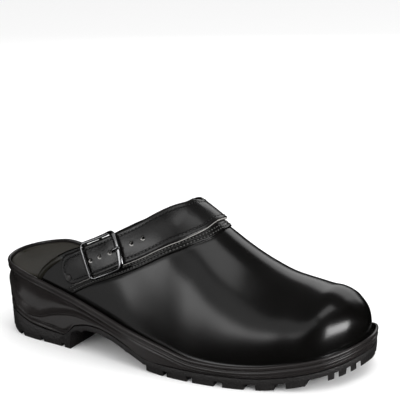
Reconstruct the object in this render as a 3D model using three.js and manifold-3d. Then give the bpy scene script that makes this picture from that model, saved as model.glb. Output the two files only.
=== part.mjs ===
// A chef clog for the right foot: closed toe, open back, moulded sole with a heel, and a
// buckled strap laid over the instep. Millimetres. +X points to the toe, +Y to the medial
// side, +Z up. The origin is on the floor, in the middle of the sole's length and ball width.
import * as THREE from "three";
import { mergeVertices } from "three/addons/utils/BufferGeometryUtils.js";
import Module from "manifold-3d";

const wasm = await Module();
wasm.setup();
const { lerp, clamp, smoothstep } = THREE.MathUtils;

// Driving sizes
const LENGTH = 282;
const BALL_WIDTH = 106;
const HEEL_RIM = 54.5;
const BALL_RIM = 15.8;
const TOE_RIM = 27.6;
const TOE_SPRING = 11;
const SPRING_LENGTH = 65;
const ARCH_HEIGHT = 18.4;
const HEEL_LENGTH = 72.5;
const FOREFOOT_START = 144;
const INSTEP_HEIGHT = 103.5;
const TOE_BOX_HEIGHT = 56.5;
const TOE_CAP_LENGTH = 26;
const GAP = 0.3;

// The moulded sole
const BEAD_WIDTH = 2.4;
const BEAD_HEIGHT = 3.2;
const GROOVE_DEPTH = 1.3;
const GROOVE_HALF = 1.2;
const SCOOP_DEPTH = 3;
const WALL_INSET = 0.8;
const CREASE_HALF = 0.8;
const HEEL_LIFT = 17.8;
const OUTSOLE_BASE = 3.6;
const TREAD_DEPTH = 4;
const HEEL_TREAD_DEPTH = 3;
const LUG_INSET = 0.5;
const RIB_DEPTH = 1.2;
const RECESS_DEPTH = 0.8;
const FOOTBED_DEPTH = 5;
const HEEL_CUP = 2;
const INSOLE_EDGE_DROP = 1.8;
const INSOLE_DISH = 1.6;

// The leather
const UPPER_INSET = 3;
const UPPER_WALL = 2.2;
const UPPER_TUCK = 3;
const LAP_STEP = 1.2;
const STRAP_WIDTH = 22.6;
const STRAP_THICKNESS = 2.4;
const STRAP_TIP = 3;
const TAB_WIDTH = 21.6;
const TAB_THICKNESS = 2;
const TAB_TIP = 9;

// The buckle and the rivets, with their distances along the strap from the tab's round end
const BUCKLE_LENGTH = 27.5;
const BUCKLE_BOW = 1.5;
const BUCKLE_WIDTH = 28.2;
const BUCKLE_WIRE = 2.4;
const BUCKLE_CORNER = 3;
const CENTRE_BAR_WIRE = 2;
const PRONG_WIRE = 1.8;
const RIVET_DIAMETER = 5;
const RIVET_HEIGHT = 1.2;
const RIVET_ACROSS = -4.8;
const RIVET_DISTANCE = 5.2;
const STRAP_START = 24;
const BUCKLE_DISTANCE = 43.2;
const PRONG_DISTANCE = 49.2;
const STRAP_FALL = 24;
const MEDIAL_SHIFT = 5;

// Stations from the heel tip to the toe tip. at is a share of LENGTH, medial and lateral are
// shares of BALL_WIDTH, heelRim and toeRim say how far the rim climbs from BALL_RIM towards
// HEEL_RIM and TOE_RIM, lift is a share of HEEL_LIFT, and crease and groove are shares of the
// side wall's height below the beads.
const SOLE = table(
  ["at", "medial", "lateral", "heelRim", "toeRim", "lift", "crease", "groove"],
  [
    [0.000, -0.009, 0.009, 1.000, 0.000, 1.000, 0.930, 0.780],
    [0.018, 0.165, 0.184, 1.000, 0.000, 1.000, 0.860, 0.680],
    [0.066, 0.297, 0.311, 0.995, 0.000, 0.955, 0.485, 0.290],
    [0.131, 0.342, 0.357, 0.897, 0.000, 0.650, 0.317, 0.210],
    [0.202, 0.353, 0.375, 0.780, 0.000, 0.530, 0.500, 0.190],
    [0.280, 0.365, 0.400, 0.659, 0.000, 0.520, 0.550, 0.180],
    [0.365, 0.377, 0.430, 0.496, 0.000, 0.520, 0.620, 0.180],
    [0.457, 0.399, 0.471, 0.326, 0.000, 0.520, 0.700, 0.180],
    [0.550, 0.442, 0.492, 0.165, 0.000, 0.520, 0.700, 0.180],
    [0.642, 0.488, 0.500, 0.023, 0.000, 0.520, 0.700, 0.180],
    [0.720, 0.500, 0.479, 0.000, 0.000, 0.520, 0.700, 0.180],
    [0.791, 0.480, 0.437, 0.000, 0.059, 0.520, 0.700, 0.180],
    [0.855, 0.453, 0.380, 0.000, 0.254, 0.520, 0.700, 0.180],
    [0.908, 0.415, 0.316, 0.000, 0.458, 0.520, 0.700, 0.180],
    [0.950, 0.371, 0.226, 0.000, 0.670, 0.520, 0.700, 0.180],
    [0.982, 0.292, 0.092, 0.000, 0.880, 0.520, 0.700, 0.180],
    [1.000, 0.104, -0.104, 0.000, 1.000, 0.520, 0.700, 0.180],
  ],
);

// The arch under the waist. at runs from the heel breast to the start of the forefoot tread,
// and rise is a share of the climb from the tread's base to ARCH_HEIGHT.
const ARCH = table(["at", "rise"], [
  [0.000, 0.540],
  [0.090, 0.760],
  [0.240, 0.960],
  [0.360, 1.000],
  [0.500, 0.920],
  [0.650, 0.740],
  [0.790, 0.480],
  [0.930, 0.160],
  [1.050, 0.000],
]);

// Sections of the last, at shares of LENGTH. The ridge height is instep times INSTEP_HEIGHT
// plus box times TOE_BOX_HEIGHT, ridge moves it to the medial side by a share of BALL_WIDTH,
// and power is the roundness of the section. Behind the throat the ridge is only a guide.
const UPPER_SECTIONS = table(["at", "instep", "box", "ridge", "power"], [
  [0.110, 1.640, 0.000, 0.000, 2.000],
  [0.216, 1.450, 0.000, 0.009, 2.000],
  [0.340, 1.295, 0.000, 0.019, 2.000],
  [0.465, 1.140, 0.000, 0.038, 1.950],
  [0.557, 1.000, 0.000, 0.057, 1.900],
  [0.613, 0.750, 0.255, 0.066, 1.850],
  [0.670, 0.480, 0.537, 0.066, 1.850],
  [0.727, 0.250, 0.780, 0.066, 1.900],
  [0.784, 0.100, 0.925, 0.066, 2.000],
  [0.840, 0.020, 1.000, 0.066, 2.150],
  [0.890, 0.000, 1.000, 0.057, 2.300],
  [0.929, 0.000, 0.975, 0.047, 2.450],
  [0.961, 0.000, 0.930, 0.028, 2.500],
  [0.990, 0.000, 0.860, 0.000, 2.500],
]);
const TOE_CAP_DROP = 0.62;

// Where the leather is cut, for a turn about the foot that runs from the rim to the ridge.
// The collar edge on each side and the lap seam are shares of LENGTH.
const CUTS = table(["turn", "lateral", "medial", "seam"], [
  [0.000, 0.149, 0.149, 0.261],
  [0.030, 0.174, 0.182, 0.303],
  [0.060, 0.207, 0.221, 0.345],
  [0.100, 0.261, 0.277, 0.401],
  [0.150, 0.337, 0.341, 0.462],
  [0.200, 0.396, 0.398, 0.512],
  [0.260, 0.450, 0.453, 0.557],
  [0.320, 0.490, 0.499, 0.590],
  [0.400, 0.531, 0.537, 0.621],
  [0.500, 0.551, 0.551, 0.634],
]);
const LAP_FADE_TURN = 0.08;

// The tab and the strap, from the tab's round end to the ridge: the cross line at each row
// goes through a low and a high place on the leather, as shares of LENGTH with their turns.
const STRAP_ROWS = table(["along", "low", "lowTurn", "high", "highTurn"], [
  [0.000, 0.261, 0.022, 0.240, 0.078],
  [0.087, 0.300, 0.045, 0.270, 0.099],
  [0.171, 0.335, 0.068, 0.302, 0.123],
  [0.425, 0.439, 0.147, 0.401, 0.208],
  [0.616, 0.512, 0.222, 0.471, 0.293],
  [0.802, 0.574, 0.320, 0.523, 0.392],
  [0.918, 0.605, 0.410, 0.543, 0.455],
  [1.000, 0.617, 0.500, 0.548, 0.500],
]);

// Lugs of the tread. Places along are shares of LENGTH and places across of BALL_WIDTH.
const TOE_CHEVRONS = table(["apex", "medial", "lateral"], [
  [1.080, 1.130, 1.170],
  [0.970, 1.023, 1.058],
  [0.948, 0.993, 1.026],
  [0.916, 0.964, 1.005],
  [0.888, 0.935, 0.981],
]);
const CHEVRON_APEX_ACROSS = 0.047;
const CHEVRON_GROOVE = 3;

const LATERAL_LUGS = table(
  ["frontOut", "frontIn", "backOut", "backIn", "inFront", "inBack", "notch"],
  [
    [0.916, 0.880, 0.869, 0.844, 0.034, 0.098, 0.224],
    [0.844, 0.818, 0.799, 0.783, 0.133, 0.172, 0.293],
    [0.773, 0.754, 0.719, 0.711, 0.193, 0.215, 0.353],
    [0.698, 0.687, 0.641, 0.644, 0.219, 0.228, 0.370],
    [0.627, 0.621, 0.569, 0.578, 0.219, 0.219, 0.362],
    [0.561, 0.554, 0.508, 0.522, 0.198, 0.189, 0.297],
  ],
);
const NOTCH_HALF = 0.03;
const NOTCH_DEPTH = 0.018;

const MEDIAL_LUGS = table(
  ["frontOut", "frontKnee", "frontDip", "frontIn", "backOut", "backKnee", "backDip", "backIn", "inner"],
  [
    [0.928, 0.915, 0.905, 0.884, 0.826, 0.852, 0.841, 0.876, 0.135],
    [0.822, 0.826, 0.811, 0.822, 0.771, 0.796, 0.790, 0.803, 0.240],
    [0.760, 0.771, 0.754, 0.783, 0.707, 0.737, 0.728, 0.762, 0.190],
    [0.694, 0.713, 0.687, 0.730, 0.653, 0.676, 0.648, 0.634, 0.135],
    [0.636, 0.655, 0.623, 0.606, 0.597, 0.614, 0.589, 0.578, 0.133],
    [0.589, 0.589, 0.567, 0.548, 0.520, 0.507, 0.490, 0.462, 0.190],
  ],
);
const KNEE_ACROSS = 0.37;
const DIP_ACROSS = 0.31;

// Ribbed blocks down the middle of the tread; turn is in degrees from straight across
const CENTRE_BLOCKS = table(["at", "across", "long", "wide", "turn"], [
  [0.850, 0.026, 0.042, 0.105, -24],
  [0.801, 0.125, 0.078, 0.100, -24],
  [0.702, 0.044, 0.080, 0.103, -9],
  [0.591, 0.040, 0.073, 0.098, 4],
  [0.488, 0.102, 0.068, 0.092, 22],
  [0.770, -0.073, 0.078, 0.090, -20],
  [0.660, -0.125, 0.090, 0.100, -3],
  [0.543, -0.100, 0.082, 0.098, 14],
  [0.440, -0.027, 0.066, 0.088, 26],
]);

const WAIST_RIBS = table(["at", "side", "long"], [
  [0.474, 1, 0.110],
  [0.392, 1, 0.120],
  [0.316, 1, 0.110],
  [0.450, -1, 0.110],
  [0.374, -1, 0.120],
  [0.298, -1, 0.110],
]);
const RIB_WIDTH = 2.4;
const RECESS = { at: 0.368, across: -0.015, long: 0.078, wide: 0.27, corner: 3 };

const HEEL_BLOCK_ROWS = table(["front", "back"], [
  [1.000, 0.925],
  [0.880, 0.640],
  [0.595, 0.355],
  [0.310, -0.080],
]);
const HEEL_BLOCK_COLUMNS = table(["from", "to"], [
  [-0.600, -0.155],
  [-0.125, 0.125],
  [0.155, 0.600],
]);

function table(columns, rows) {
  return rows.map((row) => Object.fromEntries(columns.map((name, i) => [name, row[i]])));
}

// A smooth curve through a table's column that never swings past its points
function curve(rows, key, value) {
  const x = rows.map((row) => row[key]);
  const y = rows.map((row) => row[value]);
  const rise = x.slice(1).map((next, i) => (y[i + 1] - y[i]) / (next - x[i]));
  const slope = x.map((_, i) => {
    const before = rise[Math.max(i - 1, 0)];
    const after = rise[Math.min(i, rise.length - 1)];
    return before * after <= 0 ? 0 : (2 * before * after) / (before + after);
  });
  return (at) => {
    const inside = clamp(at, x[0], x[x.length - 1]);
    let i = 0;
    while (i < x.length - 2 && inside > x[i + 1]) i += 1;
    const width = x[i + 1] - x[i];
    const f = (inside - x[i]) / width;
    const leave = (2 * f ** 3 - 3 * f ** 2 + 1) * y[i] + (f ** 3 - 2 * f ** 2 + f) * width * slope[i];
    const reach = (3 * f ** 2 - 2 * f ** 3) * y[i + 1] + (f ** 3 - f ** 2) * width * slope[i + 1];
    return leave + reach;
  };
}

const place = (share) => (share - 0.5) * LENGTH;
const share = (x) => x / LENGTH + 0.5;

// The sole's outline: one closed curve, from the heel tip along the medial side to the toe tip
// and back along the lateral side
const OUTLINE = [
  ...SOLE.map((row) => [place(row.at), row.medial * BALL_WIDTH]),
  ...SOLE.slice(1, -1).reverse().map((row) => [place(row.at), -row.lateral * BALL_WIDTH]),
];

function outlineAt(k) {
  const count = OUTLINE.length;
  const whole = Math.floor(k);
  const f = k - whole;
  const [a, b, c, d] = [-1, 0, 1, 2].map((step) => OUTLINE[(whole + step + 2 * count) % count]);
  return [0, 1].map((i) => 0.5 * (2 * b[i] + (c[i] - a[i]) * f
    + (2 * a[i] - 5 * b[i] + 4 * c[i] - d[i]) * f ** 2
    + (3 * b[i] - a[i] - 3 * c[i] + d[i]) * f ** 3));
}

// A point of the outline moved inwards
function insetAt(k, inset) {
  const step = 0.01;
  const [x, y] = outlineAt(k);
  const before = outlineAt(k - step);
  const after = outlineAt(k + step);
  const dx = after[0] - before[0];
  const dy = after[1] - before[1];
  const size = Math.hypot(dx, dy);
  return [x + (dy / size) * inset, y - (dx / size) * inset];
}

// The place across of the inset outline, on the medial (1) or lateral (-1) side
function edgeAt(x, side, inset) {
  const last = SOLE.length - 1;
  let low = 0;
  let high = last;
  for (let i = 0; i < 40; i += 1) {
    const middle = (low + high) / 2;
    if (insetAt(side > 0 ? middle : 2 * last - middle, inset)[0] < x) low = middle;
    else high = middle;
  }
  return insetAt(side > 0 ? low : 2 * last - low, inset)[1];
}

// Heights along the shoe
const soleCurve = (name) => {
  const at = curve(SOLE, "at", name);
  return (x) => at(share(x));
};
const heelRimShare = soleCurve("heelRim");
const toeRimShare = soleCurve("toeRim");
const liftShare = soleCurve("lift");
const creaseShare = soleCurve("crease");
const grooveShare = soleCurve("groove");
const archRise = curve(ARCH, "at", "rise");
const BREAST = place(0) + HEEL_LENGTH;
const FOREFOOT = place(0) + FOREFOOT_START;
const BREAST_RUN = 2;
const SPLIT_RUN = 6;

const rimHeight = (x) => BALL_RIM + (HEEL_RIM - BALL_RIM) * heelRimShare(x)
  + (TOE_RIM - BALL_RIM) * toeRimShare(x);

function springHeight(x) {
  const start = place(1) - SPRING_LENGTH;
  return TOE_SPRING * Math.max((x - start) / SPRING_LENGTH, 0) ** 1.7;
}

// The floor between the lugs: heel, arch and forefoot
function baseHeight(x) {
  if (x < BREAST) return HEEL_TREAD_DEPTH;
  const rise = archRise((x - BREAST) / (FOREFOOT - BREAST));
  const arch = TREAD_DEPTH + (ARCH_HEIGHT - TREAD_DEPTH) * rise + springHeight(x);
  return lerp(HEEL_TREAD_DEPTH, arch, clamp((x - BREAST) / BREAST_RUN, 0, 1));
}

// The surface that the lugs reach down to
function treadHeight(x) {
  if (x < BREAST) return 0;
  return Math.max(springHeight(x), baseHeight(x) - TREAD_DEPTH);
}

// The joint between outsole and midsole
function splitHeight(x) {
  const ramp = smoothstep(x, BREAST - SPLIT_RUN, BREAST + SPLIT_RUN);
  return lerp(HEEL_LIFT * liftShare(x), baseHeight(Math.max(x, BREAST + BREAST_RUN)) + OUTSOLE_BASE, ramp);
}

function midsoleFoot(x) {
  const slope = splitHeight(x + 0.5) - splitHeight(x - 0.5);
  return splitHeight(x) + GAP * Math.hypot(1, slope);
}

const seatHeight = (x) => rimHeight(x) - FOOTBED_DEPTH - HEEL_CUP * heelRimShare(x);
const ledgeHeight = (x) => rimHeight(x) - UPPER_TUCK - GAP;
const COLLAR_START = place(CUTS[0].lateral);
const LEDGE_START = 11;
const LEDGE_END = 4;

// How far the footbed's seat lies inside the outline: past the leather where there is leather
function seatInset(x) {
  const behind = BEAD_WIDTH + GAP;
  const inside = UPPER_INSET + UPPER_WALL + 2 * GAP;
  return lerp(behind, inside, smoothstep(x, COLLAR_START - LEDGE_START, COLLAR_START - LEDGE_END));
}

// Stations around the sole: each interval of the table is halved, and the heel breast, where
// the underside climbs, has its own
function stationRows() {
  const rows = [];
  for (let i = 0; i < SOLE.length - 1; i += 1) rows.push(i, i + 0.5);
  const breast = [-SPLIT_RUN, 0, BREAST_RUN, SPLIT_RUN].map((run) => BREAST + run);
  const ledge = [COLLAR_START - LEDGE_START, COLLAR_START - LEDGE_END];
  for (const x of [...breast, ...ledge]) rows.push(rowAt(x));
  return rows.sort((a, b) => a - b).filter((row, i, all) => i === 0 || row - all[i - 1] > 0.02)
    .concat(SOLE.length - 1);
}

function rowAt(x) {
  let low = 0;
  let high = SOLE.length - 1;
  for (let i = 0; i < 40; i += 1) {
    const middle = (low + high) / 2;
    if (outlineAt(middle)[0] < x) low = middle;
    else high = middle;
  }
  return low;
}

const STATIONS = stationRows();
const AROUND = [
  ...STATIONS,
  ...STATIONS.slice(1, -1).reverse().map((row) => 2 * (SOLE.length - 1) - row),
];

// A ring around the sole, with its inset and its height as numbers or functions of x
function ring(inset, height) {
  return AROUND.map((k) => {
    const guess = outlineAt(k)[0];
    const [x, y] = insetAt(k, typeof inset === "function" ? inset(guess) : inset);
    return [x, y, height(x)];
  });
}

// A closed mesh from its points and faces
function meshFrom(points, faces) {
  const geometry = new THREE.BufferGeometry();
  geometry.setAttribute("position", new THREE.Float32BufferAttribute(points.flat(), 3));
  geometry.setIndex(faces.flat());
  return geometry;
}

// A body between rings that run from the top's edge, over the outside, to the bottom's edge.
// The top and the bottom are decks from side to side, bent by their own height functions.
function ringBody(rings, topHeight, bottomHeight, columns) {
  const points = rings.flat();
  const faces = [];
  const count = AROUND.length;
  for (let r = 0; r < rings.length - 1; r += 1) {
    for (let i = 0; i < count; i += 1) {
      const a = r * count + i;
      const b = r * count + ((i + 1) % count);
      faces.push([a, b, b + count], [a, b + count, a + count]);
    }
  }
  addDeck(points, faces, 0, topHeight, columns, true);
  addDeck(points, faces, (rings.length - 1) * count, bottomHeight, columns, false);
  return meshFrom(points, faces);
}

function addDeck(points, faces, start, height, columns, up) {
  const count = AROUND.length;
  const last = STATIONS.length - 1;
  const lines = [];
  for (let i = 0; i <= last; i += 1) {
    const medial = start + i;
    const lateral = start + ((count - i) % count);
    if (i === 0 || i === last) {
      lines.push(Array(columns + 1).fill(medial));
      continue;
    }
    const line = [lateral];
    for (let c = 1; c < columns; c += 1) {
      const across = c / columns;
      const x = lerp(points[lateral][0], points[medial][0], across);
      const y = lerp(points[lateral][1], points[medial][1], across);
      points.push([x, y, height(x, across)]);
      line.push(points.length - 1);
    }
    lines.push([...line, medial]);
  }
  for (let i = 0; i < last; i += 1) {
    for (let c = 0; c < columns; c += 1) {
      const [a, b, d, e] = [lines[i][c], lines[i][c + 1], lines[i + 1][c + 1], lines[i + 1][c]];
      for (const face of [[a, e, d], [a, d, b]]) {
        if (new Set(face).size === 3) faces.push(up ? face : face.toReversed());
      }
    }
  }
}

function toManifold(geometry) {
  const bare = new THREE.BufferGeometry();
  bare.setAttribute("position", geometry.getAttribute("position"));
  bare.setIndex(geometry.getIndex());
  const merged = mergeVertices(bare, 1e-4);
  return new wasm.Manifold(new wasm.Mesh({
    numProp: 3,
    vertProperties: new Float32Array(merged.getAttribute("position").array),
    triVerts: new Uint32Array(merged.getIndex().array),
  }));
}

function fromManifold(solid) {
  const { vertProperties, triVerts } = solid.getMesh();
  const geometry = new THREE.BufferGeometry();
  geometry.setAttribute("position", new THREE.BufferAttribute(vertProperties, 3));
  geometry.setIndex(new THREE.BufferAttribute(triVerts, 1));
  return geometry;
}

// An upright prism over a plan outline of [x, y] corners
function prism(corners, low, high) {
  const shape = new THREE.Shape(corners.map(([x, y]) => new THREE.Vector2(x, y)));
  const geometry = new THREE.ExtrudeGeometry(shape, { depth: high - low, bevelEnabled: false });
  geometry.translate(0, 0, low);
  return toManifold(geometry);
}

function midsoleGeometry() {
  const beadFoot = (x) => rimHeight(x) - 2 * BEAD_HEIGHT;
  const wall = (part) => (x) => lerp(midsoleFoot(x), beadFoot(x), part(x));
  const wallHeight = (x) => beadFoot(x) - midsoleFoot(x);
  const nudge = (size, x) => Math.min(size / wallHeight(x), 0.08);
  const heelOnly = (x) => 1 - smoothstep(x, BREAST - SPLIT_RUN, BREAST + SPLIT_RUN);
  const scoop = (x) => WALL_INSET + (SCOOP_DEPTH - WALL_INSET) * (1 - smoothstep(x, BREAST, FOREFOOT));
  const grooveInset = (x) => WALL_INSET + GROOVE_DEPTH * heelOnly(x);
  const crease = (side) => wall((x) => creaseShare(x) + side * nudge(CREASE_HALF, x));
  const groove = (side) => wall((x) => grooveShare(x) + side * nudge(GROOVE_HALF, x));
  const rings = [
    ring(seatInset, seatHeight),
    ring(seatInset, ledgeHeight),
    ring(BEAD_WIDTH, ledgeHeight),
    ring(BEAD_WIDTH, (x) => rimHeight(x) - 0.15 * BEAD_HEIGHT),
    ring(0.55 * BEAD_WIDTH, rimHeight),
    ring(0, (x) => rimHeight(x) - 0.5 * BEAD_HEIGHT),
    ring(0.5 * BEAD_WIDTH, (x) => rimHeight(x) - BEAD_HEIGHT),
    ring(0.1 * BEAD_WIDTH, (x) => rimHeight(x) - 1.5 * BEAD_HEIGHT),
    ring(0.45 * BEAD_WIDTH, beadFoot),
    ring(scoop, wall((x) => (1 + creaseShare(x)) / 2)),
    ring((x) => 0.8 * scoop(x), crease(1)),
    ring(WALL_INSET, crease(-1)),
    ring(WALL_INSET, groove(1)),
    ring(grooveInset, groove(0)),
    ring(WALL_INSET, groove(-1)),
    ring(WALL_INSET, midsoleFoot),
  ];
  return ringBody(rings, (x) => seatHeight(x), (x) => midsoleFoot(x), 2);
}

function insoleGeometry() {
  const inset = (x) => seatInset(x) + GAP;
  const edge = (x) => rimHeight(x) - INSOLE_EDGE_DROP;
  const dish = (x, across) => edge(x) - INSOLE_DISH * heelRimShare(x) * Math.sin(Math.PI * across);
  const rings = [
    ring((x) => inset(x) + 1, edge),
    ring(inset, (x) => edge(x) - 1),
    ring(inset, (x) => seatHeight(x) + GAP),
  ];
  return ringBody(rings, dish, (x) => seatHeight(x) + GAP, 4);
}

// The lugs' plan outlines, as lists of corners
function chevronOutlines() {
  const outer = 0.5;
  const outlines = [];
  for (let i = 0; i < TOE_CHEVRONS.length - 1; i += 1) {
    const front = TOE_CHEVRONS[i];
    const back = TOE_CHEVRONS[i + 1];
    const line = (row, shift) => [
      [place(row.medial) + shift, outer * BALL_WIDTH],
      [place(row.apex) + shift, CHEVRON_APEX_ACROSS * BALL_WIDTH],
      [place(row.lateral) + shift, -outer * BALL_WIDTH],
    ];
    outlines.push([...line(front, -CHEVRON_GROOVE / 2), ...line(back, CHEVRON_GROOVE / 2).reverse()]);
  }
  return outlines;
}

function lateralOutlines() {
  const outer = -0.56;
  return LATERAL_LUGS.map((lug) => {
    const back = (across) => lerp(lug.backIn, lug.backOut, (across - lug.inBack) / (0.5 - lug.inBack));
    return [
      [lug.frontIn, -lug.inFront],
      [lug.frontOut, outer],
      [lug.backOut, outer],
      [back(lug.notch + NOTCH_HALF), -lug.notch - NOTCH_HALF],
      [back(lug.notch) + NOTCH_DEPTH, -lug.notch],
      [back(lug.notch - NOTCH_HALF), -lug.notch + NOTCH_HALF],
      [lug.backIn, -lug.inBack],
    ].map(([at, across]) => [place(at), across * BALL_WIDTH]);
  });
}

function medialOutlines() {
  const outer = 0.56;
  return MEDIAL_LUGS.map((lug) => [
    [lug.frontOut, outer],
    [lug.frontKnee, KNEE_ACROSS],
    [lug.frontDip, DIP_ACROSS],
    [lug.frontIn, lug.inner],
    [lug.backIn, lug.inner],
    [lug.backDip, DIP_ACROSS],
    [lug.backKnee, KNEE_ACROSS],
    [lug.backOut, outer],
  ].map(([at, across]) => [place(at), across * BALL_WIDTH]));
}

function turnedBox(x, y, long, wide, degrees) {
  const angle = THREE.MathUtils.degToRad(degrees);
  return [[1, 1], [1, -1], [-1, -1], [-1, 1]].map(([i, j]) => [
    x + (i * long * Math.cos(angle) - j * wide * Math.sin(angle)) / 2,
    y + (i * long * Math.sin(angle) + j * wide * Math.cos(angle)) / 2,
  ]);
}

function centreOutlines() {
  return CENTRE_BLOCKS.map((block) => turnedBox(
    place(block.at), block.across * BALL_WIDTH, block.long * LENGTH, block.wide * BALL_WIDTH, block.turn));
}

function heelOutlines() {
  const alongHeel = (part) => place(0) + part * HEEL_LENGTH;
  return HEEL_BLOCK_ROWS.flatMap((row, i) => {
    const columns = i === 0 ? [{ from: -0.6, to: 0.6 }] : HEEL_BLOCK_COLUMNS;
    return columns.map(({ from, to }) => [
      [alongHeel(row.front), from * BALL_WIDTH],
      [alongHeel(row.front), to * BALL_WIDTH],
      [alongHeel(row.back), to * BALL_WIDTH],
      [alongHeel(row.back), from * BALL_WIDTH],
    ]);
  });
}

function ribOutlines() {
  return WAIST_RIBS.map((rib) => {
    const edge = edgeAt(place(rib.at), rib.side, WALL_INSET + 2 * LUG_INSET);
    const long = rib.long * BALL_WIDTH;
    return turnedBox(place(rib.at), edge - (rib.side * long) / 2, RIB_WIDTH, long, 0);
  });
}

// What lies between two heights under the sole, inside an inset of its outline
function soleSlab(inset, low, high) {
  return toManifold(ringBody([ring(inset, high), ring(inset, low)], high, low, 2));
}

function outsoleGeometry() {
  const above = HEEL_LIFT + ARCH_HEIGHT;
  const below = -TREAD_DEPTH;
  const join = (outlines) => wasm.Manifold.union(outlines.map((corners) => prism(corners, below, above)));
  const overlap = OUTSOLE_BASE / 3;
  const inset = WALL_INSET + LUG_INSET;
  const base = toManifold(ringBody(
    [ring(WALL_INSET, splitHeight), ring(WALL_INSET, baseHeight)], splitHeight, baseHeight, 2));
  const lugs = join([
    ...chevronOutlines(), ...lateralOutlines(), ...medialOutlines(), ...centreOutlines(), ...heelOutlines(),
  ]).intersect(soleSlab(inset, treadHeight, (x) => baseHeight(x) + overlap));
  const ribs = join(ribOutlines()).intersect(
    soleSlab(inset, (x) => baseHeight(x) - RIB_DEPTH, (x) => baseHeight(x) + overlap));
  const recessShape = turnedBox(place(RECESS.at), RECESS.across * BALL_WIDTH,
    RECESS.long * LENGTH, RECESS.wide * BALL_WIDTH, 0);
  const recess = prism(recessShape, below, above).intersect(
    soleSlab(inset, (x) => baseHeight(x) - TREAD_DEPTH, (x) => baseHeight(x) + RECESS_DEPTH));
  return fromManifold(base.add(lugs).add(ribs).subtract(recess));
}

// The upper's outer face: x along the shoe, turn from 0 at the lateral rim over the ridge to 1
const sectionCurve = (name) => {
  const at = curve(UPPER_SECTIONS, "at", name);
  return (x) => at(share(x));
};
const instepShare = sectionCurve("instep");
const boxShare = sectionCurve("box");
const ridgeShare = sectionCurve("ridge");
const powerAt = sectionCurve("power");
const TOE_TIP = place(1) - UPPER_INSET;

function upperPoint(x, turn) {
  const lateral = edgeAt(x, -1, UPPER_INSET);
  const medial = edgeAt(x, 1, UPPER_INSET);
  const middle = (lateral + medial) / 2;
  const half = (medial - lateral) / 2;
  const low = rimHeight(x) - UPPER_TUCK;
  const into = clamp((x - TOE_TIP + TOE_CAP_LENGTH) / TOE_CAP_LENGTH, 0, 1);
  const cap = 1 - TOE_CAP_DROP * (1 - Math.sqrt(1 - into * into));
  const high = (instepShare(x) * INSTEP_HEIGHT + boxShare(x) * TOE_BOX_HEIGHT - low) * cap;
  const ridge = ridgeShare(x) * Math.min(BALL_WIDTH, 3.5 * half);
  const angle = Math.PI * turn;
  const out = -Math.cos(angle);
  const side = Math.sign(out) * Math.abs(out) ** (2 / powerAt(x));
  const up = Math.abs(Math.sin(angle)) ** (2 / powerAt(x));
  return new THREE.Vector3(x, middle + half * side + ridge * up, low + high * up);
}

// The outward normal of the upper's face
function upperNormal(x, turn) {
  const step = 0.4;
  const slip = 0.004;
  const forward = upperPoint(x + step, turn).sub(upperPoint(x - step, turn));
  const around = upperPoint(x, turn + slip).sub(upperPoint(x, turn - slip));
  return forward.cross(around).normalize();
}

const lateralCollar = curve(CUTS, "turn", "lateral");
const medialCollar = curve(CUTS, "turn", "medial");
const seamShare = curve(CUTS, "turn", "seam");
const fold = (turn) => Math.min(turn, 1 - turn);
const collarAt = (turn) => place(turn < 0.5 ? lateralCollar(turn) : medialCollar(1 - turn));
const seamAt = (turn) => place(seamShare(fold(turn)));

// The upper is a grid from the collar to the toe tip and from rim to rim. Its rows meet at the
// tip, where each row's two halves fold onto one upright line.
const PANEL_ROWS = 6;
const VAMP_ROWS = 20;
const TURNS = 28;

function upperRows() {
  const rows = [];
  for (let i = 0; i <= PANEL_ROWS; i += 1) {
    rows.push({ lap: true, at: (turn) => lerp(collarAt(turn), seamAt(turn), i / PANEL_ROWS) });
  }
  for (let i = 0; i <= VAMP_ROWS; i += 1) {
    const part = Math.sin((Math.PI / 2) * (i / VAMP_ROWS));
    rows.push({ lap: false, at: (turn) => lerp(seamAt(turn), TOE_TIP, part) });
  }
  return rows;
}

function upperGeometry() {
  const rows = upperRows();
  const width = TURNS + 1;
  const tip = rows.length - 1;
  const index = (r, c) => (r === tip ? r * width + Math.min(c, TURNS - c) : r * width + c);
  const base = rows.map((row) => Array.from({ length: width }, (_, c) => upperPoint(row.at(c / TURNS), c / TURNS)));
  const normals = gridNormals(base, PANEL_ROWS);
  const points = [];
  for (const inner of [false, true]) {
    rows.forEach((row, r) => {
      for (let c = 0; c < width; c += 1) {
        const fade = smoothstep(fold(c / TURNS), 0, LAP_FADE_TURN);
        const raise = inner ? -UPPER_WALL - LAP_STEP * fade : row.lap ? 0 : -LAP_STEP * fade;
        const point = base[r][c].clone().addScaledVector(normals[r][c], raise);
        if (c === 0 || c === TURNS) point.z = base[r][c].z;
        points.push(point.toArray());
      }
    });
  }
  return meshFrom(...weld(points, upperFaces(points, rows.length, width, index)));
}

// Normals of a grid of points, from their neighbours. The row after the seam lies on the seam.
function gridNormals(grid, seam) {
  const last = grid.length - 1;
  return grid.map((row, r) => row.map((point, c) => {
    const ahead = r === seam ? r + 2 : Math.min(r + 1, last);
    const behind = r === seam + 1 ? r - 2 : Math.max(r - 1, 0);
    if (r === last) {
      return new THREE.Vector3(1, 0, 0);
    }
    const forward = grid[ahead][c].clone().sub(grid[behind][c]);
    const around = row[Math.min(c + 1, TURNS)].clone().sub(row[Math.max(c - 1, 0)]);
    const normal = forward.cross(around);
    if (c === 0 || c === TURNS) normal.z = 0;
    return normal.normalize();
  }));
}

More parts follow.
